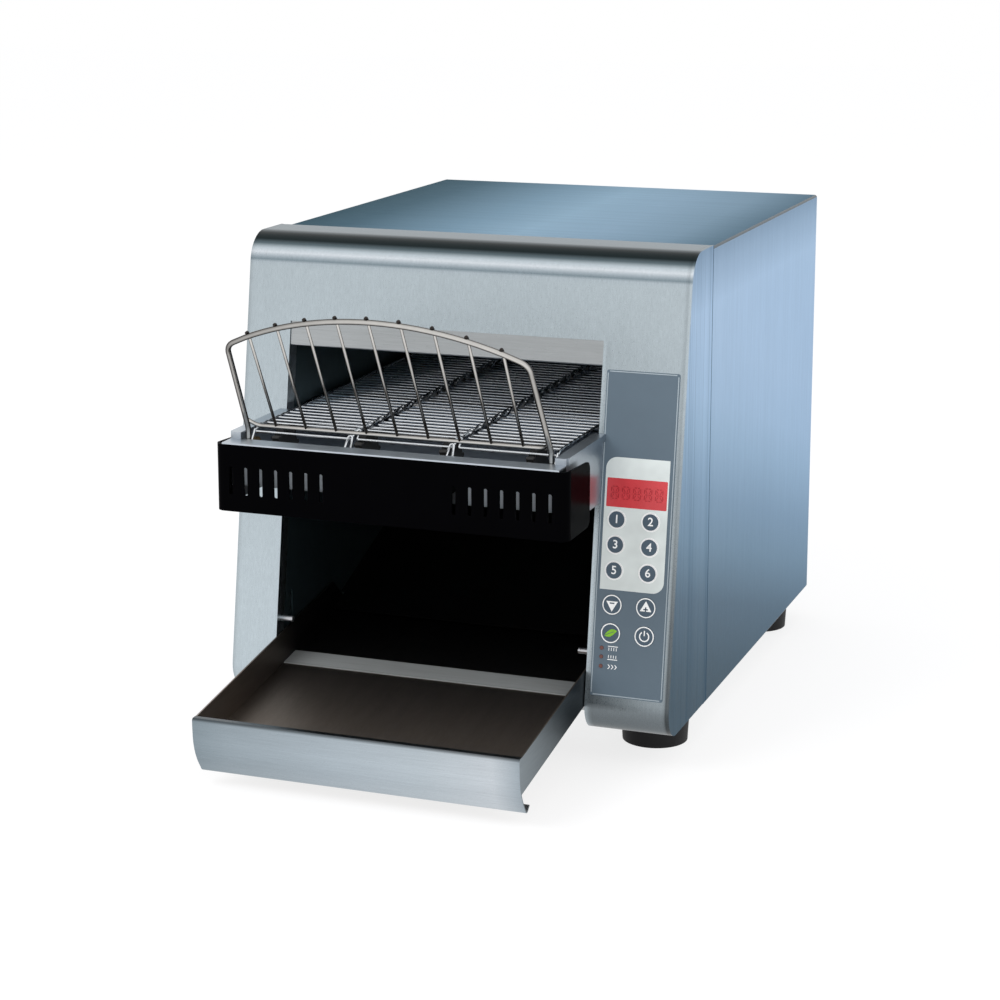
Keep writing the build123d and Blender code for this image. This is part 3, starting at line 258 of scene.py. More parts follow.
# noise scales of the brushing, by the direction of its streaks
GRAIN = {"x": (30, 1100, 1100), "y": (1100, 30, 1100), "z": (1100, 1100, 45)}
FINE = {"x": (90, 3600, 3600), "y": (3600, 90, 3600), "z": (3600, 3600, 130)}
BANDS = {"x": (1.5, 130, 130), "y": (130, 1.5, 130), "z": (130, 130, 1.5)}


def brushed(
    name, paint, grain, rough=0.3, contrast=0.1, bump=0.05, bands=0.04, cloud=0.04, edge=grey(1)
):
    """Brushed steel: paint gives the broad tone as a colour or a function of the shader; coarse
    and fine streaks, long faint bands and broad cloudiness darken it by these shares."""
    shader = Shader(name)
    fine = shader.noise(FINE[grain], 2.0)
    layers = (
        (shader.noise(GRAIN[grain]), contrast),
        (fine, contrast * 0.6),
        (shader.noise(BANDS[grain]), bands),
        (shader.noise((6, 6, 6), 2.0, 0.5), cloud),
    )
    color = paint if isinstance(paint, tuple) else paint(shader)
    for value, amount in layers:
        color = shader.multiply(color, shader.fade(value, NOISE_SPAN, grey(1 - amount), grey(1)))
    shader.color(color)
    shader.rough(fine, rough - 0.05, rough + 0.07)
    shader.set(Metallic=1.0, Specular_Tint=(*edge, 1))
    shader.bump(fine, bump, 0.0002)
    return shader


def plain_metal(name, color, rough, spots=0.05, scale=300):
    """Smooth metal with slight unevenness in colour and gloss."""
    shader = Shader(name)
    value = shader.noise((scale, scale, scale))
    shader.color(shader.fade(value, SPOT_SPAN, *spotted(color, spots)))
    shader.rough(value, rough * 0.8, rough * 1.25)
    shader.set(Metallic=1.0)
    return shader


def round_wire(name, face, edge, rough, start, end):
    """Bright wire with painted reflection: it changes from its face colour to its edge colour
    where it curves away.
    """
    shader = Shader(name)
    value = shader.noise((70, 70, 70), 2.0)
    weight = shader.node("ShaderNodeLayerWeight")
    weight.inputs["Blend"].default_value = 0.45
    # painted reflection: the base colour turns to the edge colour where the wire curves away from
    # the viewer
    rim_reflection = shader.fade(weight.outputs["Facing"], (start, end), grey(0), grey(1))
    patchy = shader.fade(value, SPOT_SPAN, grey(0.9), grey(1))
    shader.color(shader.multiply(shader.mix(rim_reflection, face, edge), patchy))
    shader.rough(value, rough * 0.8, rough * 1.3)
    shader.set(Metallic=1.0)
    return shader


def coating(name, color, rough, specular=0.5, texture=0.02, scale=900, spots=0.06):
    """Paint, plastic or rubber with a faint surface texture."""
    shader = Shader(name)
    value = shader.noise((scale, scale, scale))
    broad = shader.noise((40, 40, 40), 2.0)
    shader.color(shader.fade(broad, SPOT_SPAN, *spotted(color, spots)))
    shader.rough(value, rough * 0.9, rough * 1.1)
    shader.set(Specular_IOR_Level=specular)
    shader.bump(value, texture, 0.0003)
    return shader


def ink(name, color, texture=0.02):
    """Matt, nearly smooth print."""
    return coating(name, color, 0.45, 0.3, texture, scale=2600)


# ---------------------------------------------------------------- paints of the sheet metal
# tones by place, which paint reflection and shade into the sheet metal: (millimetres or degrees,
# display colour)
LID_REFLECTION_TONES = [
    (-186, (72, 90, 99)),
    (-140, (84, 105, 118)),
    (-45, (122, 150, 170)),
    (15, (140, 169, 190)),
    (75, (136, 163, 184)),
    (140, (124, 149, 168)),
    (186, (98, 120, 136)),
]
SIDE_SLANT = 0.3
SIDE_REFLECTION_TONES = [
    (25, (84, 97, 106)),
    (60, (88, 103, 114)),
    (113, (101, 118, 132)),
    (160, (123, 145, 163)),
    (200, (134, 157, 178)),
    (250, (154, 178, 200)),
    (282, (164, 187, 210)),
    (330, (170, 192, 215)),
    (400, (172, 194, 217)),
    (520, (176, 198, 220)),
]
BROW_REFLECTION_TONES = [
    (0, (178, 189, 195)),
    (7, (174, 185, 192)),
    (12, (128, 142, 150)),
    (17, (160, 172, 180)),
    (25, (212, 219, 225)),
    (33, (186, 197, 204)),
    (42, (96, 110, 116)),
    (52, (32, 41, 43)),
    (72, (26, 35, 37)),
    (84, (60, 73, 79)),
    (96, (92, 108, 116)),
    (160, (96, 114, 124)),
]
TRAY_REFLECTION_TONES = [
    (-147.4, (140, 153, 161)),
    (-120, (156, 168, 176)),
    (-30, (176, 187, 195)),
    (40, (187, 197, 204)),
    (96, (203, 210, 216)),
    (117.4, (164, 175, 183)),
]
TRAY_INNER_REFLECTION_AND_SHADE_TONES = [
    (-258, (172, 164, 158)),
    (-190, (164, 152, 142)),
    (-110, (132, 124, 118)),
    (-70, (72, 71, 71)),
    (25, (24, 26, 28)),
]
TRAY_EDGE_SHADE_TONES = [
    (-256, (150, 160, 166)),
    (-200, (122, 131, 136)),
    (-140, (74, 81, 86)),
    (-80, (38, 42, 45)),
]


def seam_shadow_line(shader):
    """Painted shade: dark hairline along the seam where the front module meets the wrap."""
    return shader.shade(shader.place("Y"), (-2.0, 1), (-1.0, 0.04), (1.0, 0.04), (2.0, 1))


def top_paint(shader):
    """Blue-grey lid with painted reflection and shade: lighter across its middle, darker towards
    its sides and its rear.
    """
    # painted reflection: lighter across the middle, darker towards the sides
    across = shader.along(shader.place("X"), LID_REFLECTION_TONES, lid_tone)
    # painted shade: a little darker at the front edge, darker towards the rear
    depth_shade = shader.shade(shader.place("Y"), (0, 0.95), (60, 1), (300, 1), (450, 0.82))
    return shader.multiply(across, depth_shade)


def side_paint(shader):
    """Light blue side with painted reflection that darkens towards the foot and the front, and
    painted shade under its top edge.
    """
    height, depth = shader.place("Z"), shader.place("Y")
    slanted = shader.compute("ADD", height, shader.compute("MULTIPLY", depth, SIDE_SLANT))
    # painted reflection: darker towards the foot and the front
    up = shader.along(slanted, SIDE_REFLECTION_TONES, side_tone)
    # painted shade under the top edge
    under = shader.shade(height, (355, 1), (385, 0.78), (403, 0.6))
    return shader.multiply(up, under, seam_shadow_line(shader))


def return_paint(shader):
    """Side of the front module: as the wrap's side, with its painted reflection and shade, and
    long upright streaks.
    """
    streak = shader.ramp(
        shader.noise((260, 260, 2.5)), (0.35, grey(0.78)), (0.5, grey(0.98)), (0.65, grey(1))
    )
    return shader.multiply(side_paint(shader), streak)


def face_paint(shader):
    """Pale face with painted light: the dark and bright reflection bands that lie along the rolled
    brow, a column with painted shade that darkens towards its foot, and painted highlight lines
    along its outer edge and beside the opening."""
    up = shader.compute("SUBTRACT", shader.place("Z"), BROW_Z)
    ahead = shader.compute("SUBTRACT", BROW_Y, shader.place("Y"))
    angle = shader.compute("ARCTAN2", up, ahead)
    # painted reflection: dark and bright bands by the angle round the brow
    brow = shader.along(angle, [(math.radians(turn), color) for turn, color in BROW_REFLECTION_TONES])
    height, reach = shader.place("Z"), shader.place("X")
    # painted shade on the control column: darker towards its foot, lighter near the top
    right = shader.shade(
        height,
        (20, 0.3),
        (44, 0.42),
        (50, 0.5),
        (57, 0.74),
        (100, 0.84),
        (190, 0.98),
        (330, 1.17),
        (380, 1.19),
    )
    # painted light: the face left of the control column lighter
    left = shader.shade(height, (100, 1.27), (200, 1.24), (330, 1.18))
    column = shader.shade(reach, (112, 0), (124, 1))
    # painted dark line and highlight along the face's outer edges
    rim_reflection = shader.shade(
        reach, (-186.5, 0.8), (-183, 1), (181.5, 1), (183, 0.72), (184.6, 1.15), (186.5, 1.15)
    )
    # painted shade: the outermost strip darker towards its foot
    foot = shader.shade(height, (30, 0.32), (120, 0.36), (200, 0.7), (300, 0.92))
    outer = shader.shade(reach, (182.4, 0), (184, 1))
    # painted highlight and dark line beside the opening, below a height of 331 mm
    inner = shader.shade(reach, (118, 1), (119.3, 1.14), (121.5, 0.92), (126, 1))
    above = shader.shade(height, (331, 0), (334.5, 1))
    return shader.multiply(
        brow,
        shader.mix(column, left, right),
        rim_reflection,
        shader.mix(outer, grey(1), foot),
        shader.mix(above, inner, grey(1)),
        seam_shadow_line(shader),
    )


def tray_paint(shader):
    """Bluish front of the tray with painted reflection, brighter towards its right end, and
    painted shade under the rolled top.
    """
    # painted reflection: brighter towards the right end, darker at both ends
    across = shader.along(shader.place("X"), TRAY_REFLECTION_TONES)
    # painted shade: dark line under the rolled top, with lighter bands below
    up = shader.shade(
        shader.place("Z"), (8, 1.13), (22, 1), (34, 1.08), (50, 1.04), (55.5, 0.97), (57.4, 0.3)
    )
    return shader.multiply(across, up)


def inner_paint(shader):
    """Inside of the tray: steel with a painted warm reflection, and painted shade that darkens it
    towards the chamber.
    """
    return shader.along(shader.place("Y"), TRAY_INNER_REFLECTION_AND_SHADE_TONES)


def edge_paint(shader):
    """Outer side of the tray, with painted shade that darkens it towards the body."""
    return shader.along(shader.place("Y"), TRAY_EDGE_SHADE_TONES)


# ---------------------------------------------------------------- finishes
top_steel = brushed(
    "top_steel", top_paint, "x", 0.34, 0.08, bump=0.03, bands=0.1, cloud=0.03, edge=LID_EDGE
)
side_steel = brushed(
    "side_steel", side_paint, "z", 0.36, 0.08, bump=0.03, bands=0.05, cloud=0.03, edge=SIDE_EDGE
)
return_steel = brushed(
    "return_steel", return_paint, "z", 0.34, 0.06, bump=0.03, bands=0.08, cloud=0.0, edge=SIDE_EDGE
)
# painted reflection: the wrap's bends between lid and sides are dark blue-grey
bend_reflection_steel = brushed("bend_reflection_steel", tone(62, 78, 88), "y", contrast=0.06)
front_steel = brushed("front_steel", face_paint, "z", contrast=0.12, bump=0.06, bands=0.03)
tray_steel = brushed("tray_steel", tray_paint, "x", bands=0.06, cloud=0.03)
tray_inside = brushed(
    "tray_inside", inner_paint, "y", 0.44, 0.12, bands=0.1, cloud=0.1, edge=grey(0.5)
)
tray_edge = brushed("tray_edge", edge_paint, "y", 0.34, edge=grey(0.6))
lap_steel = brushed("lap_steel", tone(196, 200, 200), "x", 0.4, 0.14, edge=grey(0.6))
lap_steel.set(Metallic=0.45)
chamber_steel = brushed("chamber_steel", tone(108, 130, 138), "z", 0.45, 0.12)
# painted shade: the chute is dark steel for the dark area under the belt
chute_shade_steel = brushed("chute_shade_steel", tone(48, 48, 48), "y", 0.42, 0.12)
deflector_steel = brushed("deflector_steel", tone(182, 186, 188), "x", 0.32, 0.12)
nose_steel = brushed("nose_steel", tone(196, 204, 212), "x", 0.36, 0.05, bump=0.03)
pan_steel = brushed("pan_steel", tone(164, 176, 190), "x", 0.34, 0.06, bump=0.03)
galvanised = plain_metal("galvanised", (0.45, 0.46, 0.47), 0.42, spots=0.15, scale=120)
zinc = plain_metal("zinc", (0.55, 0.56, 0.58), 0.32)
bright_shaft = plain_metal("bright_shaft", (0.45, 0.45, 0.45), 0.28)
bronze = plain_metal("bronze", (0.5, 0.34, 0.16), 0.4)
# painted reflection: the tips of the bright uprights are dark
dark_reflection_tip = plain_metal("dark_reflection_tip", tone(58, 54, 52), 0.3)
# painted reflection: belt wire pales to grey at its rims, rack wire darkens to a warm dark
wire_steel = round_wire("wire_steel", tone(236, 240, 244), tone(170, 172, 175), 0.22, 0.2, 0.9)
rack_steel = round_wire("rack_steel", tone(206, 204, 200), tone(38, 33, 30), 0.15, 0.05, 0.46)
black_oxide = coating("black_oxide", (0.012, 0.012, 0.012), 0.45)
enamel = coating("enamel", (0.0012, 0.0012, 0.0016), 0.22, texture=0.01, scale=500)
enamel.set(IOR=1.04)
rubber = coating("rubber", (0.008, 0.008, 0.009), 0.6, 0.25, texture=0.12, scale=1500)
slate = coating("slate", tone(93, 108, 120), 0.42, 0.3, texture=0.05, scale=2600, spots=0.015)
key_slate = coating("key_slate", tone(74, 90, 104), 0.38, 0.3, texture=0.05, scale=2600)
# light line drawn flat along the overlay's edges
overlay_light_line = ink("overlay_light_line", tone(164, 175, 182), 0.03)
pale_ink = ink("pale_ink", tone(217, 224, 223), 0.03)
white_ink = ink("white_ink", tone(253, 254, 254))
green_ink = ink("green_ink", tone(132, 190, 50))
red_lens = coating("red_lens", tone(203, 66, 72), 0.22, 0.4, texture=0.01, scale=700)
dark_red = coating("dark_red", tone(166, 40, 48), 0.3, 0.3)
lamp_off = coating("lamp_off", tone(104, 62, 56), 0.25)
moulding = coating("moulding", (0.02, 0.02, 0.022), 0.45)
motor_paint = coating("motor_paint", (0.03, 0.03, 0.034), 0.4)
ceramic = coating("ceramic", (0.72, 0.69, 0.62), 0.35)
board = coating("board", (0.02, 0.13, 0.05), 0.4)
quartz = coating("quartz", (0.55, 0.56, 0.58), 0.12, 0.8, scale=300)

FINISHES = (
    (top_steel, "body_wrap"),
    (front_steel, "front_panel"),
    (side_steel, "rear_panel"),
    (chamber_steel, "left_wall right_wall"),
    (deflector_steel, "deflector"),
    (pan_steel, "upper_reflector lower_reflector"),
    (nose_steel, "conveyor_frame nose_frame"),
    (tray_steel, "product_tray"),
    (chute_shade_steel, "discharge_chute"),
    (galvanised, "base_pan chamber_roof motor_bracket"),
    (zinc, "foot_screws guide_studs board_standoffs thermostat fan_guard panel_screws"),
    (bright_shaft, "belt_rods idler_shaft drive_shaft drive_chain"),
    (bronze, "idler_bushes drive_bearings"),
    (black_oxide, "drive_sprockets idler_sprockets chain_wheel motor_sprocket"),
    (wire_steel, "belt"),
    (rack_steel, "loading_rack"),
    (enamel, "front_cover"),
    (rubber, "feet"),
    (quartz, "heating_tubes"),
    (ceramic, "tube_ceramics"),
    (motor_paint, "gearbox motor"),
    (slate, "control_overlay"),
    (red_lens, "display_window"),
    (lamp_off, "indicator_lamps"),
    (board, "control_board"),
    (moulding, "dome_switches relays terminal_block fan_housing fan_rotor cord_gland"),
)
finish = {name: shader for shader, names in FINISHES for name in names.split()}
for name, obj in nodes.items():
    # the table leaves out only the ten key caps
    obj.data.materials.clear()
    obj.data.materials.append(finish.get(name, key_slate).material)


def finish_parts(name, shaders, choose):
    """Several finishes on one node: choose gives the index for a polygon's centre and normal."""
    obj = nodes[name]
    for shader in shaders:
        obj.data.materials.append(shader.material)
    turn = obj.matrix_world.to_3x3()
    for polygon in obj.data.polygons:
        center = obj.matrix_world @ polygon.center / MM
        polygon.material_index = choose(center, (turn @ polygon.normal).normalized())


WRAP_SQUARE = 0.97
SHEET_SQUARE = 0.9
PANEL_RETURN_X = 185.0
TRAY_OUTSIDE_X = 131.9
TRAY_FACE_Y = -250.0


def wrap_part(center, normal):
    """Lid, sides, and the bends between them."""
    if normal.z > WRAP_SQUARE:
        return 0
    return 1 if abs(normal.x) > WRAP_SQUARE else 2


def panel_part(center, normal):
    """Face, and the outer sides of the panel's returns."""
    return 1 if abs(normal.x) > SHEET_SQUARE and abs(center.x) > PANEL_RETURN_X else 0


def tray_part(center, normal):
    """Front face, outer sides, and the inside."""
    if abs(normal.x) > SHEET_SQUARE:
        return 1 if abs(center.x - BELT_X) > TRAY_OUTSIDE_X else 2
    return 0 if normal.y < -0.2 or center.y - SEAM_Y < TRAY_FACE_Y else 2


finish_parts("body_wrap", [side_steel, bend_reflection_steel], wrap_part)
finish_parts("front_panel", [return_steel], panel_part)
finish_parts("product_tray", [tray_edge, tray_inside], tray_part)


# ---------------------------------------------------------------- mesh helpers
def place_piece(name, data, body, matrix=None):
    """Object that rides on a body."""
    obj = bpy.data.objects.new(name, data)
    bpy.context.scene.collection.objects.link(obj)
    if matrix is not None:
        obj.matrix_world = matrix
    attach(obj, body)
    return obj


def mesh_piece(name, build, shader, body, smooth=True):
    """Piece from a function that builds a bmesh."""
    mesh = bpy.data.meshes.new(name)
    shape = bmesh.new()
    build(shape)
    shape.to_mesh(mesh)
    shape.free()
    mesh.materials.append(shader.material)
    if smooth:
        mesh.shade_smooth()
    return place_piece(name, mesh, body)


def rounded(points, radius, steps=4):
    """Polyline with its inner corners rounded."""
    most = 0.45
    out = [points[0]]
    for before, corner, after in zip(points, points[1:], points[2:]):
        first, second = (before - corner), (after - corner)
        reach = min(radius, first.length * most, second.length * most)
        start, end = corner + first.normalized() * reach, corner + second.normalized() * reach
        for k in range(steps + 1):
            t = k / steps
            out.append(start * (1 - t) ** 2 + corner * 2 * t * (1 - t) + end * t * t)
    out.append(points[-1])
    return out


def tube(shape, points, radius, sides=10):
    """Round wire along points, closed at both ends with small domes."""
    dome_height, dome_width = radius * 0.35, radius * 0.6
    tangents = []
    for k in range(len(points)):
        low, high = points[max(0, k - 1)], points[min(len(points) - 1, k + 1)]
        tangents.append((high - low).normalized())
    stations = [(points[0] - tangents[0] * dome_height, tangents[0], dome_width)]
    stations += [(point, tangent, radius) for point, tangent in zip(points, tangents)]
    stations += [(points[-1] + tangents[-1] * dome_height, tangents[-1], dome_width)]
    side = tangents[0].orthogonal().normalized()
    rings = []
    for center, tangent, size in stations:
        side = (side - tangent * side.dot(tangent)).normalized()
        up = tangent.cross(side)
        turns = [2 * math.pi * k / sides for k in range(sides)]
        rings.append(
            [
                shape.verts.new(center + side * size * math.cos(turn) + up * size * math.sin(turn))
                for turn in turns
            ]
        )
    for low, high in zip(rings, rings[1:]):
        for k in range(sides):
            n = (k + 1) % sides
            shape.faces.new((low[k], low[n], high[n], high[k]))
    shape.faces.new(list(reversed(rings[0])))
    shape.faces.new(rings[-1])


# ---------------------------------------------------------------- belt of round wire
BELT_WIRE = 0.95
LEG_INSET = 0.9
LEG_RISE = 0.9
LEG_REACH = PITCH + 1.5
HOOK_X = 42.0
HOOK_SHIFT = 1.3
HOOK_FOOT = 2.6
HOOK_TIP = 1.5
HOOK_RISE = 1.9
BELT_BEND = 1.3


def belt_rows():
    """Place and outward angle of every strand round the two wheels."""
    step = 360 / TEETH
    rear_axis = FRONT_AXIS + LINKS * PITCH
    # the lower run leaves the rear axis and ends at the front wheel, the upper run comes back
    for way, leave, arrive in ((180, rear_axis, FRONT_AXIS), (360, FRONT_AXIS, rear_axis)):
        out = way + 90
        for link in range(LINKS):
            y, z = on_circle(leave, AXIS_Z, BELT_RADIUS, out)
            yield y + link * PITCH * math.cos(math.radians(way)), z, out
        for tooth in range(TEETH // 2):
            angle = out - tooth * step
            yield *on_circle(arrive, AXIS_Z, BELT_RADIUS, angle), angle - step / 2


def build_belt(shape):
    """Strands that hook into the next one at their ends and in two columns."""
    for index, (y, z, out) in enumerate(belt_rows()):
        outward = Vector((0, *on_circle(0, 0, 1, out)))
        forward = Vector((0, outward.z, -outward.y))
        origin = at(BELT_X, y, z)

        def local(x, along=0.0, rise=0.0):
            return origin + Vector((x * MM, 0, 0)) + forward * along * MM + outward * rise * MM

        end = BELT_HALF - LEG_INSET
        shift = HOOK_SHIFT if index % 2 else -HOOK_SHIFT
        path = [local(-end, LEG_REACH, LEG_RISE), local(-end)]
        for middle in (-HOOK_X + shift, HOOK_X + shift):
            path += [
                local(middle - HOOK_FOOT),
                local(middle - HOOK_TIP, LEG_REACH, HOOK_RISE),
                local(middle + HOOK_TIP, LEG_REACH, HOOK_RISE),
                local(middle + HOOK_FOOT),
            ]
        path += [local(end), local(end, LEG_REACH, LEG_RISE)]
        tube(shape, rounded(path, BELT_BEND * MM, 2), BELT_WIRE * MM, 7)


belt = mesh_piece("belt_wires", build_belt, wire_steel, "housing")
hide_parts("belt")

# ---------------------------------------------------------------- rack of round wire
KNEE_Y, KNEE_Z = -166.2, 265.5
FOOT_Z = 254.0
FOOT_REACH = 134.0
RACK_LEAN = math.radians(29.4)
RACK_HALF = 124.5
RACK_WIRE = 2.2
LEG_TAPER = 3.5
ARCH_CORNER = 84.0
ARCH_RADIUS = 252.0
ARCH_HALF = 112.5
ARCH_START = 105
ARCH_TOP = ARCH_CORNER + 4.5 + ARCH_RADIUS - math.sqrt(ARCH_RADIUS**2 - ARCH_HALF**2)
UPRIGHTS = [25.4 * k for k in range(-4, 5)]
UPRIGHT_WIRE = 1.2
UPRIGHT_BACK = 3.2
UPRIGHT_START = 0.6
UPRIGHT_PAST = 0.4
BAR_WIRE = 1.6
BAR_HALF = 118.0
BAR_END = (9.0, 1.2)
BAR_FOOT = (1.2, 3.3)
FOOT_BEND, CROWN_BEND, BAR_BEND, TIP_BEND = 4.0, 13.0, 5.0, 1.5


def rack_point(across, up, back=0.0):
    """Point of the leaning rack plane, from its knee line."""
    y = KNEE_Y - up * math.sin(RACK_LEAN) + back * math.cos(RACK_LEAN)
    z = KNEE_Z + up * math.cos(RACK_LEAN) + back * math.sin(RACK_LEAN)
    return at(BELT_X + across, y, z)


def arch_up(across):
    return ARCH_TOP - ARCH_RADIUS + math.sqrt(ARCH_RADIUS**2 - across**2)


def build_rack(shape):
    """End-and-arch wire, nine uprights behind it and the crossbar at their feet."""
    foot = at(BELT_X + FOOT_REACH, KNEE_Y, FOOT_Z)
    bend = at(BELT_X + RACK_HALF, KNEE_Y, FOOT_Z)
    crown = rack_point(RACK_HALF - LEG_TAPER, ARCH_CORNER)
    leg = rounded([foot, bend, rack_point(RACK_HALF, 0), crown], FOOT_BEND * MM)[:-1]
    middle = rack_point(RACK_HALF - LEG_TAPER * 0.8, ARCH_CORNER * 0.8)
    start = rack_point(ARCH_START, arch_up(ARCH_START))
    corner = rounded([middle, crown, start], CROWN_BEND * MM, 8)
    arch = [rack_point(x, arch_up(x)) for x in range(ARCH_START - 2, 0, -9)]
    half = leg + corner[1:-1] + arch
    mirror = [Vector((2 * BELT_X * MM - p.x, p.y, p.z)) for p in reversed(half)]
    tube(shape, half + [rack_point(0, ARCH_TOP)] + mirror, RACK_WIRE * MM, 16)
    for x in UPRIGHTS:
        low = rack_point(x, UPRIGHT_START, UPRIGHT_BACK)
        high = rack_point(x, arch_up(x) + UPRIGHT_PAST, UPRIGHT_BACK)
        tube(shape, [low, high], UPRIGHT_WIRE * MM)
    bar = [
        rack_point(RACK_HALF, *BAR_END),
        rack_point(BAR_HALF, *BAR_FOOT),
        rack_point(-BAR_HALF, *BAR_FOOT),
        rack_point(-RACK_HALF, *BAR_END),
    ]
    tube(shape, rounded(bar, BAR_BEND * MM, 5), BAR_WIRE * MM, 12)


def build_tips(shape):
    """Ends of the uprights, bent over the arch."""
    for x in UPRIGHTS:
        top = arch_up(x)
        path = [
            rack_point(x, top - 0.5, 3.3),
            rack_point(x, top + 2.6, 2.6),
            rack_point(x, top + 3.1, 0.4),
        ]
        tube(shape, rounded(path, TIP_BEND * MM, 3), UPRIGHT_WIRE * MM)


rack = mesh_piece("rack_wires", build_rack, rack_steel, "rack")
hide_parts("loading_rack")
mesh_piece("rack_tips", build_tips, dark_reflection_tip, "rack")

# ---------------------------------------------------------------- lap joint on the tray floor
TRAY_SLOPE = math.tan(math.radians(8.3))
TRAY_FRONT = 256.0
TRAY_FLOOR_Z = 30.25
LAP_HALF = 131.0
LAP_DEPTHS = (-97.0, -74.0)
LAP_SHEET = 0.8


def build_lap(shape):
    """Light strip of sheet lying on the tray floor, from wall to wall."""
    front, rear = LAP_DEPTHS
    rings = []
    for lift in (0.0, LAP_SHEET):
        low, high = (TRAY_FLOOR_Z + (y + TRAY_FRONT) * TRAY_SLOPE + lift for y in LAP_DEPTHS)
        rings.append(
            [
                shape.verts.new(at(BELT_X - LAP_HALF, front, low)),
                shape.verts.new(at(BELT_X + LAP_HALF, front, low)),
                shape.verts.new(at(BELT_X + LAP_HALF, rear, high)),
                shape.verts.new(at(BELT_X - LAP_HALF, rear, high)),
            ]
        )
    shape.faces.new(rings[1])
    shape.faces.new(list(reversed(rings[0])))
    for k in range(4):
        n = (k + 1) % 4
        shape.faces.new((rings[0][k], rings[0][n], rings[1][n], rings[1][k]))


mesh_piece("tray_lap", build_lap, lap_steel, "tray", smooth=False)

# ---------------------------------------------------------------- printed marks
# heights of surfaces above the panel's face, thicknesses of prints, and places on the panel
OVERLAY_TOP = 0.5
CAP_TOP = 0.9
PRINT = 0.06
THICK_PRINT = 0.12
PANE = 0.16
FIELD = (125.7, 177.0, 90.2, 193.6)
OVERLAY = (122.2, 181.0, 6.4, 260.7)
WINDOW = (151.6, 166.1, 48.6, 22.5)
KEY_X = (136.5, 163.8)
KEY_V = (145.2, 125.5, 105.4)
DOWN, UP = ((x, 78.6) for x in KEY_X)
ECO, POWER = ((x, 56.3) for x in KEY_X)
LAMP_V = (44.2, 37.3, 29.9)
KEY_HOLE = 7.06
CAP_RING = (6.4, 7.0)
FIELD_RING = (7.05, 7.7)
LOW_RING = (6.9, 7.75)
DIGIT_SIZE = 9.2
DIGIT_BOLD = 0.11
ARROW_SIZE = 5.4


def box(left, right, low, high):
    return [(left, low), (right, low), (right, high), (left, high)]


def regular(x, v, radius, corners, start=0.0):
    return [on_circle(x, v, radius, start + 360 * k / corners) for k in range(corners)]


def corner_arc(x, v, radius, start, steps=8):
    if not radius:
        return [(x, v)]
    return [on_circle(x, v, radius, start + 90 * k / steps) for k in range(steps + 1)]


def rounded_box(left, right, low, high, radii):
    """Box with rounded corners; the radii are low left, low right, high right, high left."""
    first, second, third, fourth = radii
    points = corner_arc(left + first, low + first, first, 180)
    points += corner_arc(right - second, low + second, second, 270)
    points += corner_arc(right - third, high - third, third, 0)
    return points + corner_arc(left + fourth, high - fourth, fourth, 90)


def ring(x, v, inner, outer, start=0.0, turn=360.0, steps=48):
    """Ring or arc as a row of four-cornered outlines."""
    quads = []
    for k in range(steps):
        a, b = start + turn * k / steps, start + turn * (k + 1) / steps
        quads.append(
            [
                on_circle(x, v, inner, a),
                on_circle(x, v, outer, a),
                on_circle(x, v, outer, b),
                on_circle(x, v, inner, b),
            ]
        )
    return quads


def stroke(first, second, wide):
    """Thin straight bar between two panel points."""
    across, up = second[0] - first[0], second[1] - first[1]
    length = math.hypot(across, up)
    side_x, side_v = -up / length * wide / 2, across / length * wide / 2
    return [
        (first[0] - side_x, first[1] - side_v),
        (second[0] - side_x, second[1] - side_v),
        (second[0] + side_x, second[1] + side_v),
        (first[0] + side_x, first[1] + side_v),
    ]


def patch(name, outlines, out, shader, thickness=PRINT, body="housing"):
    """Flat printed areas on the panel: each outline is a list of (x, v) points."""

    def build(shape):
        for outline in outlines:
            top = [shape.verts.new(on_panel(x, v, out + thickness)) for x, v in outline]
            low = [shape.verts.new(on_panel(x, v, out)) for x, v in outline]
            shape.faces.new(top)
            for k in range(len(top)):
                n = (k + 1) % len(top)
                shape.faces.new((low[k], low[n], top[n], top[k]))
        bmesh.ops.recalc_face_normals(shape, faces=shape.faces)

    mesh_piece(name, build, shader, body, smooth=False)


def key_patch(name, outlines, key, shader=white_ink, out=CAP_TOP, thickness=THICK_PRINT):
    """Printed area on a key's cap."""
    patch(name, outlines, out, shader, thickness, f"{key}_cap")


def panel_matrix(x, v, out):
    """Turns a flat curve onto the panel."""
    turn = Matrix.Rotation(math.pi / 2 - LEAN, 4, "X")
    return Matrix.Translation(on_panel(x, v, out)) @ turn


def print_field(name, outlines, shader):
    """Flat printed field on the overlay; every outline after the first is a hole."""
    curve = bpy.data.curves.new(name, "CURVE")
    curve.dimensions = "2D"
    curve.fill_mode = "BOTH"
    curve.extrude = PRINT / 2 * MM
    for points in outlines:
        spline = curve.splines.new("POLY")
        spline.points.add(len(points) - 1)
        for point, (x, v) in zip(spline.points, points):
            point.co = (x * MM, v * MM, 0, 1)
        spline.use_cyclic_u = True
    curve.materials.append(shader.material)
    middle = panel_matrix(0, 0, OVERLAY_TOP + PRINT / 2)
    place_piece(name, curve, "housing", middle)


def print_digit(key, digit, x, v):
    """Plain numeral on a key."""
    curve = bpy.data.curves.new(f"{key}_digit", "FONT")
    curve.body = digit
    curve.size = DIGIT_SIZE * MM
    curve.align_x = "CENTER"
    curve.align_y = "CENTER"
    curve.offset = DIGIT_BOLD * MM
    curve.extrude = PRINT * MM
    curve.materials.append(white_ink.material)
    middle = panel_matrix(x, v, CAP_TOP + 0.05)
    place_piece(f"{key}_digit", curve, f"{key}_cap", middle)


holes = [regular(x, v, KEY_HOLE, 40) for x in KEY_X for v in KEY_V]
print_field("keypad_field", [rounded_box(*FIELD, (0, 9, 0, 9))] + holes, pale_ink)


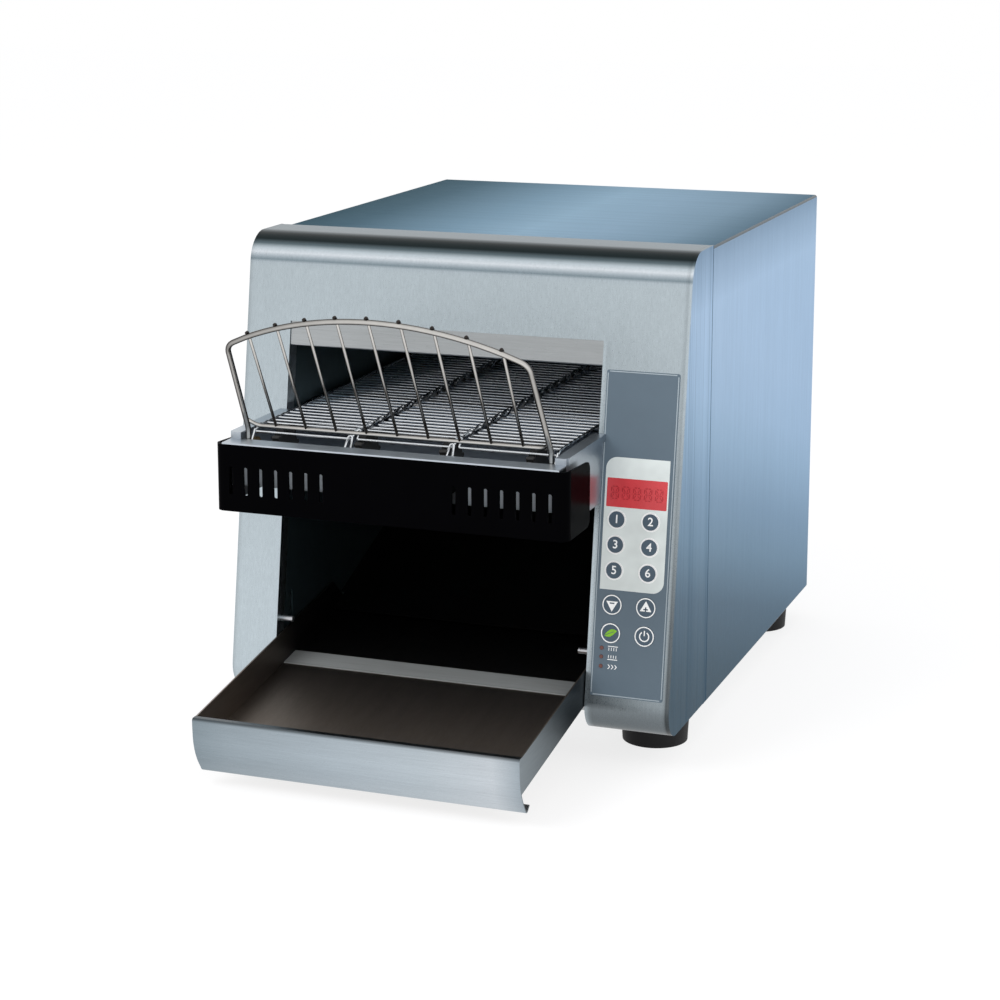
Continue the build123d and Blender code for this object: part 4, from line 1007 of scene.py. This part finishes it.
def overlay_edges(inset=0.7, corner=2.4):
    """Light line along the overlay's four sides, open at its corners."""
    left, right, low, high = OVERLAY
    return [
        box(left + inset, left + 2 * inset, low + corner, high - corner),
        box(right - 2 * inset, right - inset, low + corner, high - corner),
        box(left + corner, right - corner, low + inset, low + 2 * inset),
        box(left + corner, right - corner, high - 2 * inset, high - inset),
    ]


def window_pane(radius=0.8):
    x, v, width, height = WINDOW
    half, tall = width / 2, height / 2
    return rounded_box(x - half, x + half, v - tall, v + tall, (radius,) * 4)


def display_segments(count=5, pitch=8.9, margin=6.6):
    """Unlit segments of the display's figures: level, upright and slanting bars."""
    x, v, width, height = WINDOW
    wide, tall, gap = 2.9, 4.7, 0.7
    bars = []
    for k in range(count):
        middle = x - width / 2 + margin + k * pitch
        for hand in (-1, 1):
            near, far, end = (middle + hand * step for step in (gap / 2, wide - gap, wide))
            for level in (-1, 0, 1):
                bars.append(stroke((near, v + level * tall), (far, v + level * tall), 0.7))
            for level in (-1, 1):
                low, high = v + level * gap, v + level * (tall - gap)
                bars.append(stroke((end, low), (end, high), 0.7))
                start = (middle + hand * gap, v + level * gap * 1.2)
                bars.append(stroke(start, (far, v + level * (tall - gap * 1.3)), 0.5))
    return bars


def heat_picture(v, side):
    """Heat from above or below: a bar with four rays."""
    bar = v + side * 1.7
    rays = [135.8 + 2.0 * k for k in range(4)]
    picture = [box(135.0, 143.0, bar - 0.3, bar + 0.3)]
    return picture + [box(x - 0.25, x + 0.25, v - side * 1.7, v + side * 0.7) for x in rays]


def speed_picture(v):
    """Travel of the belt: three arrow heads."""
    picture = []
    for x in (135.4, 138.1, 140.8):
        low, high = v - 1.7, v + 1.7
        tip = [(x, low), (x + 0.8, low), (x + 2.2, v), (x + 0.8, high), (x, high), (x + 1.4, v)]
        picture.append(tip)
    return picture


patch("overlay_outline", overlay_edges(), OVERLAY_TOP, overlay_light_line)
patch("display_pane", [window_pane()], OVERLAY_TOP, red_lens, PANE)
patch("display_segments", display_segments(), OVERLAY_TOP + PANE, dark_red)
above, below, travel = LAMP_V
pictures = heat_picture(above, 1) + heat_picture(below, -1) + speed_picture(travel)
patch("lamp_pictures", pictures, OVERLAY_TOP, white_ink)

for index, (x, v) in enumerate((x, v) for v in KEY_V for x in KEY_X):
    key = f"key_{index + 1}"
    key_patch(f"{key}_ring", ring(x, v, *CAP_RING), key)
    field_ring = ring(x, v, *FIELD_RING)
    patch(f"field_{index + 1}_ring", field_ring, OVERLAY_TOP + PRINT, white_ink, THICK_PRINT)
    print_digit(key, str(index + 1), x, v)
for key, (x, v) in (("key_down", DOWN), ("key_up", UP), ("key_eco", ECO), ("key_power", POWER)):
    key_patch(f"{key}_ring", ring(x, v, *LOW_RING), key)

SIGN = {"shader": key_slate, "out": CAP_TOP + 0.1, "thickness": PRINT}
x, v = DOWN
key_patch("mark_down", [regular(x, v, ARROW_SIZE, 3, -90)], "key_down")
key_patch("mark_minus", [box(x - 1.9, x + 1.9, v + 0.7, v + 1.7)], "key_down", **SIGN)
x, v = UP
key_patch("mark_up", [regular(x, v, ARROW_SIZE, 3, 90)], "key_up")
plus = [box(x - 1.9, x + 1.9, v - 1.7, v - 0.7), box(x - 0.5, x + 0.5, v - 3.1, v + 0.7)]
key_patch("mark_plus", plus, "key_up", **SIGN)


def leaf_point(share, bulge):
    """Point of the leaf's outline: along its slanting middle, and off it by the bulge."""
    middle = ECO[1] - 2.2 + 4.4 * share
    return (ECO[0] - 5.2 + 10.4 * share, middle + bulge * math.sin(math.pi * share))


leaf = [leaf_point(k / 12, -2.6) for k in range(13)]
leaf += [leaf_point(1 - k / 12, 2.9) for k in range(1, 12)]
key_patch("mark_leaf", [leaf], "key_eco", green_ink)
x, v = ECO
vein = [(x - 5.0, v - 2.3), (x + 2.6, v + 1.2), (x + 2.5, v + 1.6), (x - 5.1, v - 1.9)]
key_patch("mark_vein", [vein], "key_eco", **SIGN)
x, v = POWER
key_patch("mark_power", ring(x, v, 3.2, 4.1, start=122, turn=296), "key_power")
key_patch("mark_power_stem", [box(x - 0.45, x + 0.45, v + 0.6, v + 4.6)], "key_power")

# ---------------------------------------------------------------- studio, in metres
SKY_LIGHT = 0.8
SKY_SEEN = 1.0
FLOOR_LEVEL = -0.0005
FLOOR_GLOW = 0.78
FLOOR_SHADOW = (0.27, 0.27, 0.275, 1)


def seen_factor(tree):
    """1 for camera, glossy and transmission rays, 0 for the light that falls on the object."""
    path = tree.nodes.new("ShaderNodeLightPath")
    total = path.outputs["Is Camera Ray"]
    for ray in ("Is Glossy Ray", "Is Transmission Ray"):
        made = tree.nodes.new("ShaderNodeMath")
        made.operation = "MAXIMUM"
        tree.links.new(total, made.inputs[0])
        tree.links.new(path.outputs[ray], made.inputs[1])
        total = made.outputs["Value"]
    return total


def make_world():
    """White for what sees it, and a little dimmer as a light."""
    world = bpy.data.worlds.new("studio")
    bpy.context.scene.world = world
    world.use_nodes = True
    tree = world.node_tree
    background = tree.nodes["Background"]
    background.inputs["Color"].default_value = (1, 1, 1, 1)
    strength = tree.nodes.new("ShaderNodeMapRange")
    strength.inputs["To Min"].default_value = SKY_LIGHT
    strength.inputs["To Max"].default_value = SKY_SEEN
    tree.links.new(seen_factor(tree), strength.inputs["Value"])
    tree.links.new(strength.outputs["Result"], background.inputs["Strength"])


def make_floor():
    """White floor: for what sees it a glow that keeps a faint shadow, else plain white."""
    mesh = bpy.data.meshes.new("floor")
    corners = [(x, y, FLOOR_LEVEL) for x, y in ((-6, -6), (6, -6), (6, 8), (-6, 8))]
    mesh.from_pydata(corners, [], [(0, 1, 2, 3)])
    floor = bpy.data.objects.new("floor", mesh)
    bpy.context.scene.collection.objects.link(floor)
    ground = Shader("floor_white")
    ground.set(Base_Color=(0.8, 0.8, 0.8, 1), Roughness=0.9, Specular_IOR_Level=0.0)
    glow = ground.node("ShaderNodeEmission")
    glow.inputs["Strength"].default_value = FLOOR_GLOW
    faint = ground.node("ShaderNodeBsdfDiffuse")
    faint.inputs["Color"].default_value = FLOOR_SHADOW
    seen = ground.node("ShaderNodeAddShader")
    ground.link(faint.outputs["BSDF"], seen.inputs[0])
    ground.link(glow.outputs["Emission"], seen.inputs[1])
    choose = ground.node("ShaderNodeMixShader")
    ground.link(seen_factor(ground.tree), choose.inputs["Fac"])
    ground.link(ground.bsdf.outputs["BSDF"], choose.inputs[1])
    ground.link(seen.outputs["Shader"], choose.inputs[2])
    output = ground.tree.nodes["Material Output"]
    ground.link(choose.outputs["Shader"], output.inputs["Surface"])
    mesh.materials.append(ground.material)


def make_lamp(name, place, size, power):
    """Square area lamp that points at the object's middle and isn't seen in the metal."""
    target = Vector((0, 0, 0.2))
    data = bpy.data.lights.new(name, "AREA")
    data.shape = "RECTANGLE"
    data.size = data.size_y = size
    data.energy = power
    obj = bpy.data.objects.new(name, data)
    obj.location = place
    obj.rotation_euler = (target - Vector(place)).to_track_quat("-Z", "Y").to_euler()
    bpy.context.scene.collection.objects.link(obj)
    obj.visible_glossy = False


def make_camera():
    """Camera fitted to corners of the object in the photo."""
    camera = bpy.data.objects.new("camera", bpy.data.cameras.new("camera"))
    bpy.context.scene.collection.objects.link(camera)
    bpy.context.scene.camera = camera
    camera.data.sensor_width = 36
    camera.data.lens = 86.83
    camera.data.shift_y = -0.1
    camera.data.clip_end = 30
    camera.location = (0.6745, -1.8786, 0.6671)
    yaw, pitch = math.radians(20.13), math.radians(11.69)
    camera.rotation_euler = (math.pi / 2 - pitch, 0, yaw)


make_world()
make_floor()
make_lamp("key", (-1.2, -1.6, 1.9), 1.6, 28)
make_lamp("fill", (1.8, -1.2, 1.2), 1.2, 10)
make_camera()
bpy.context.scene.view_settings.view_transform = "Standard"
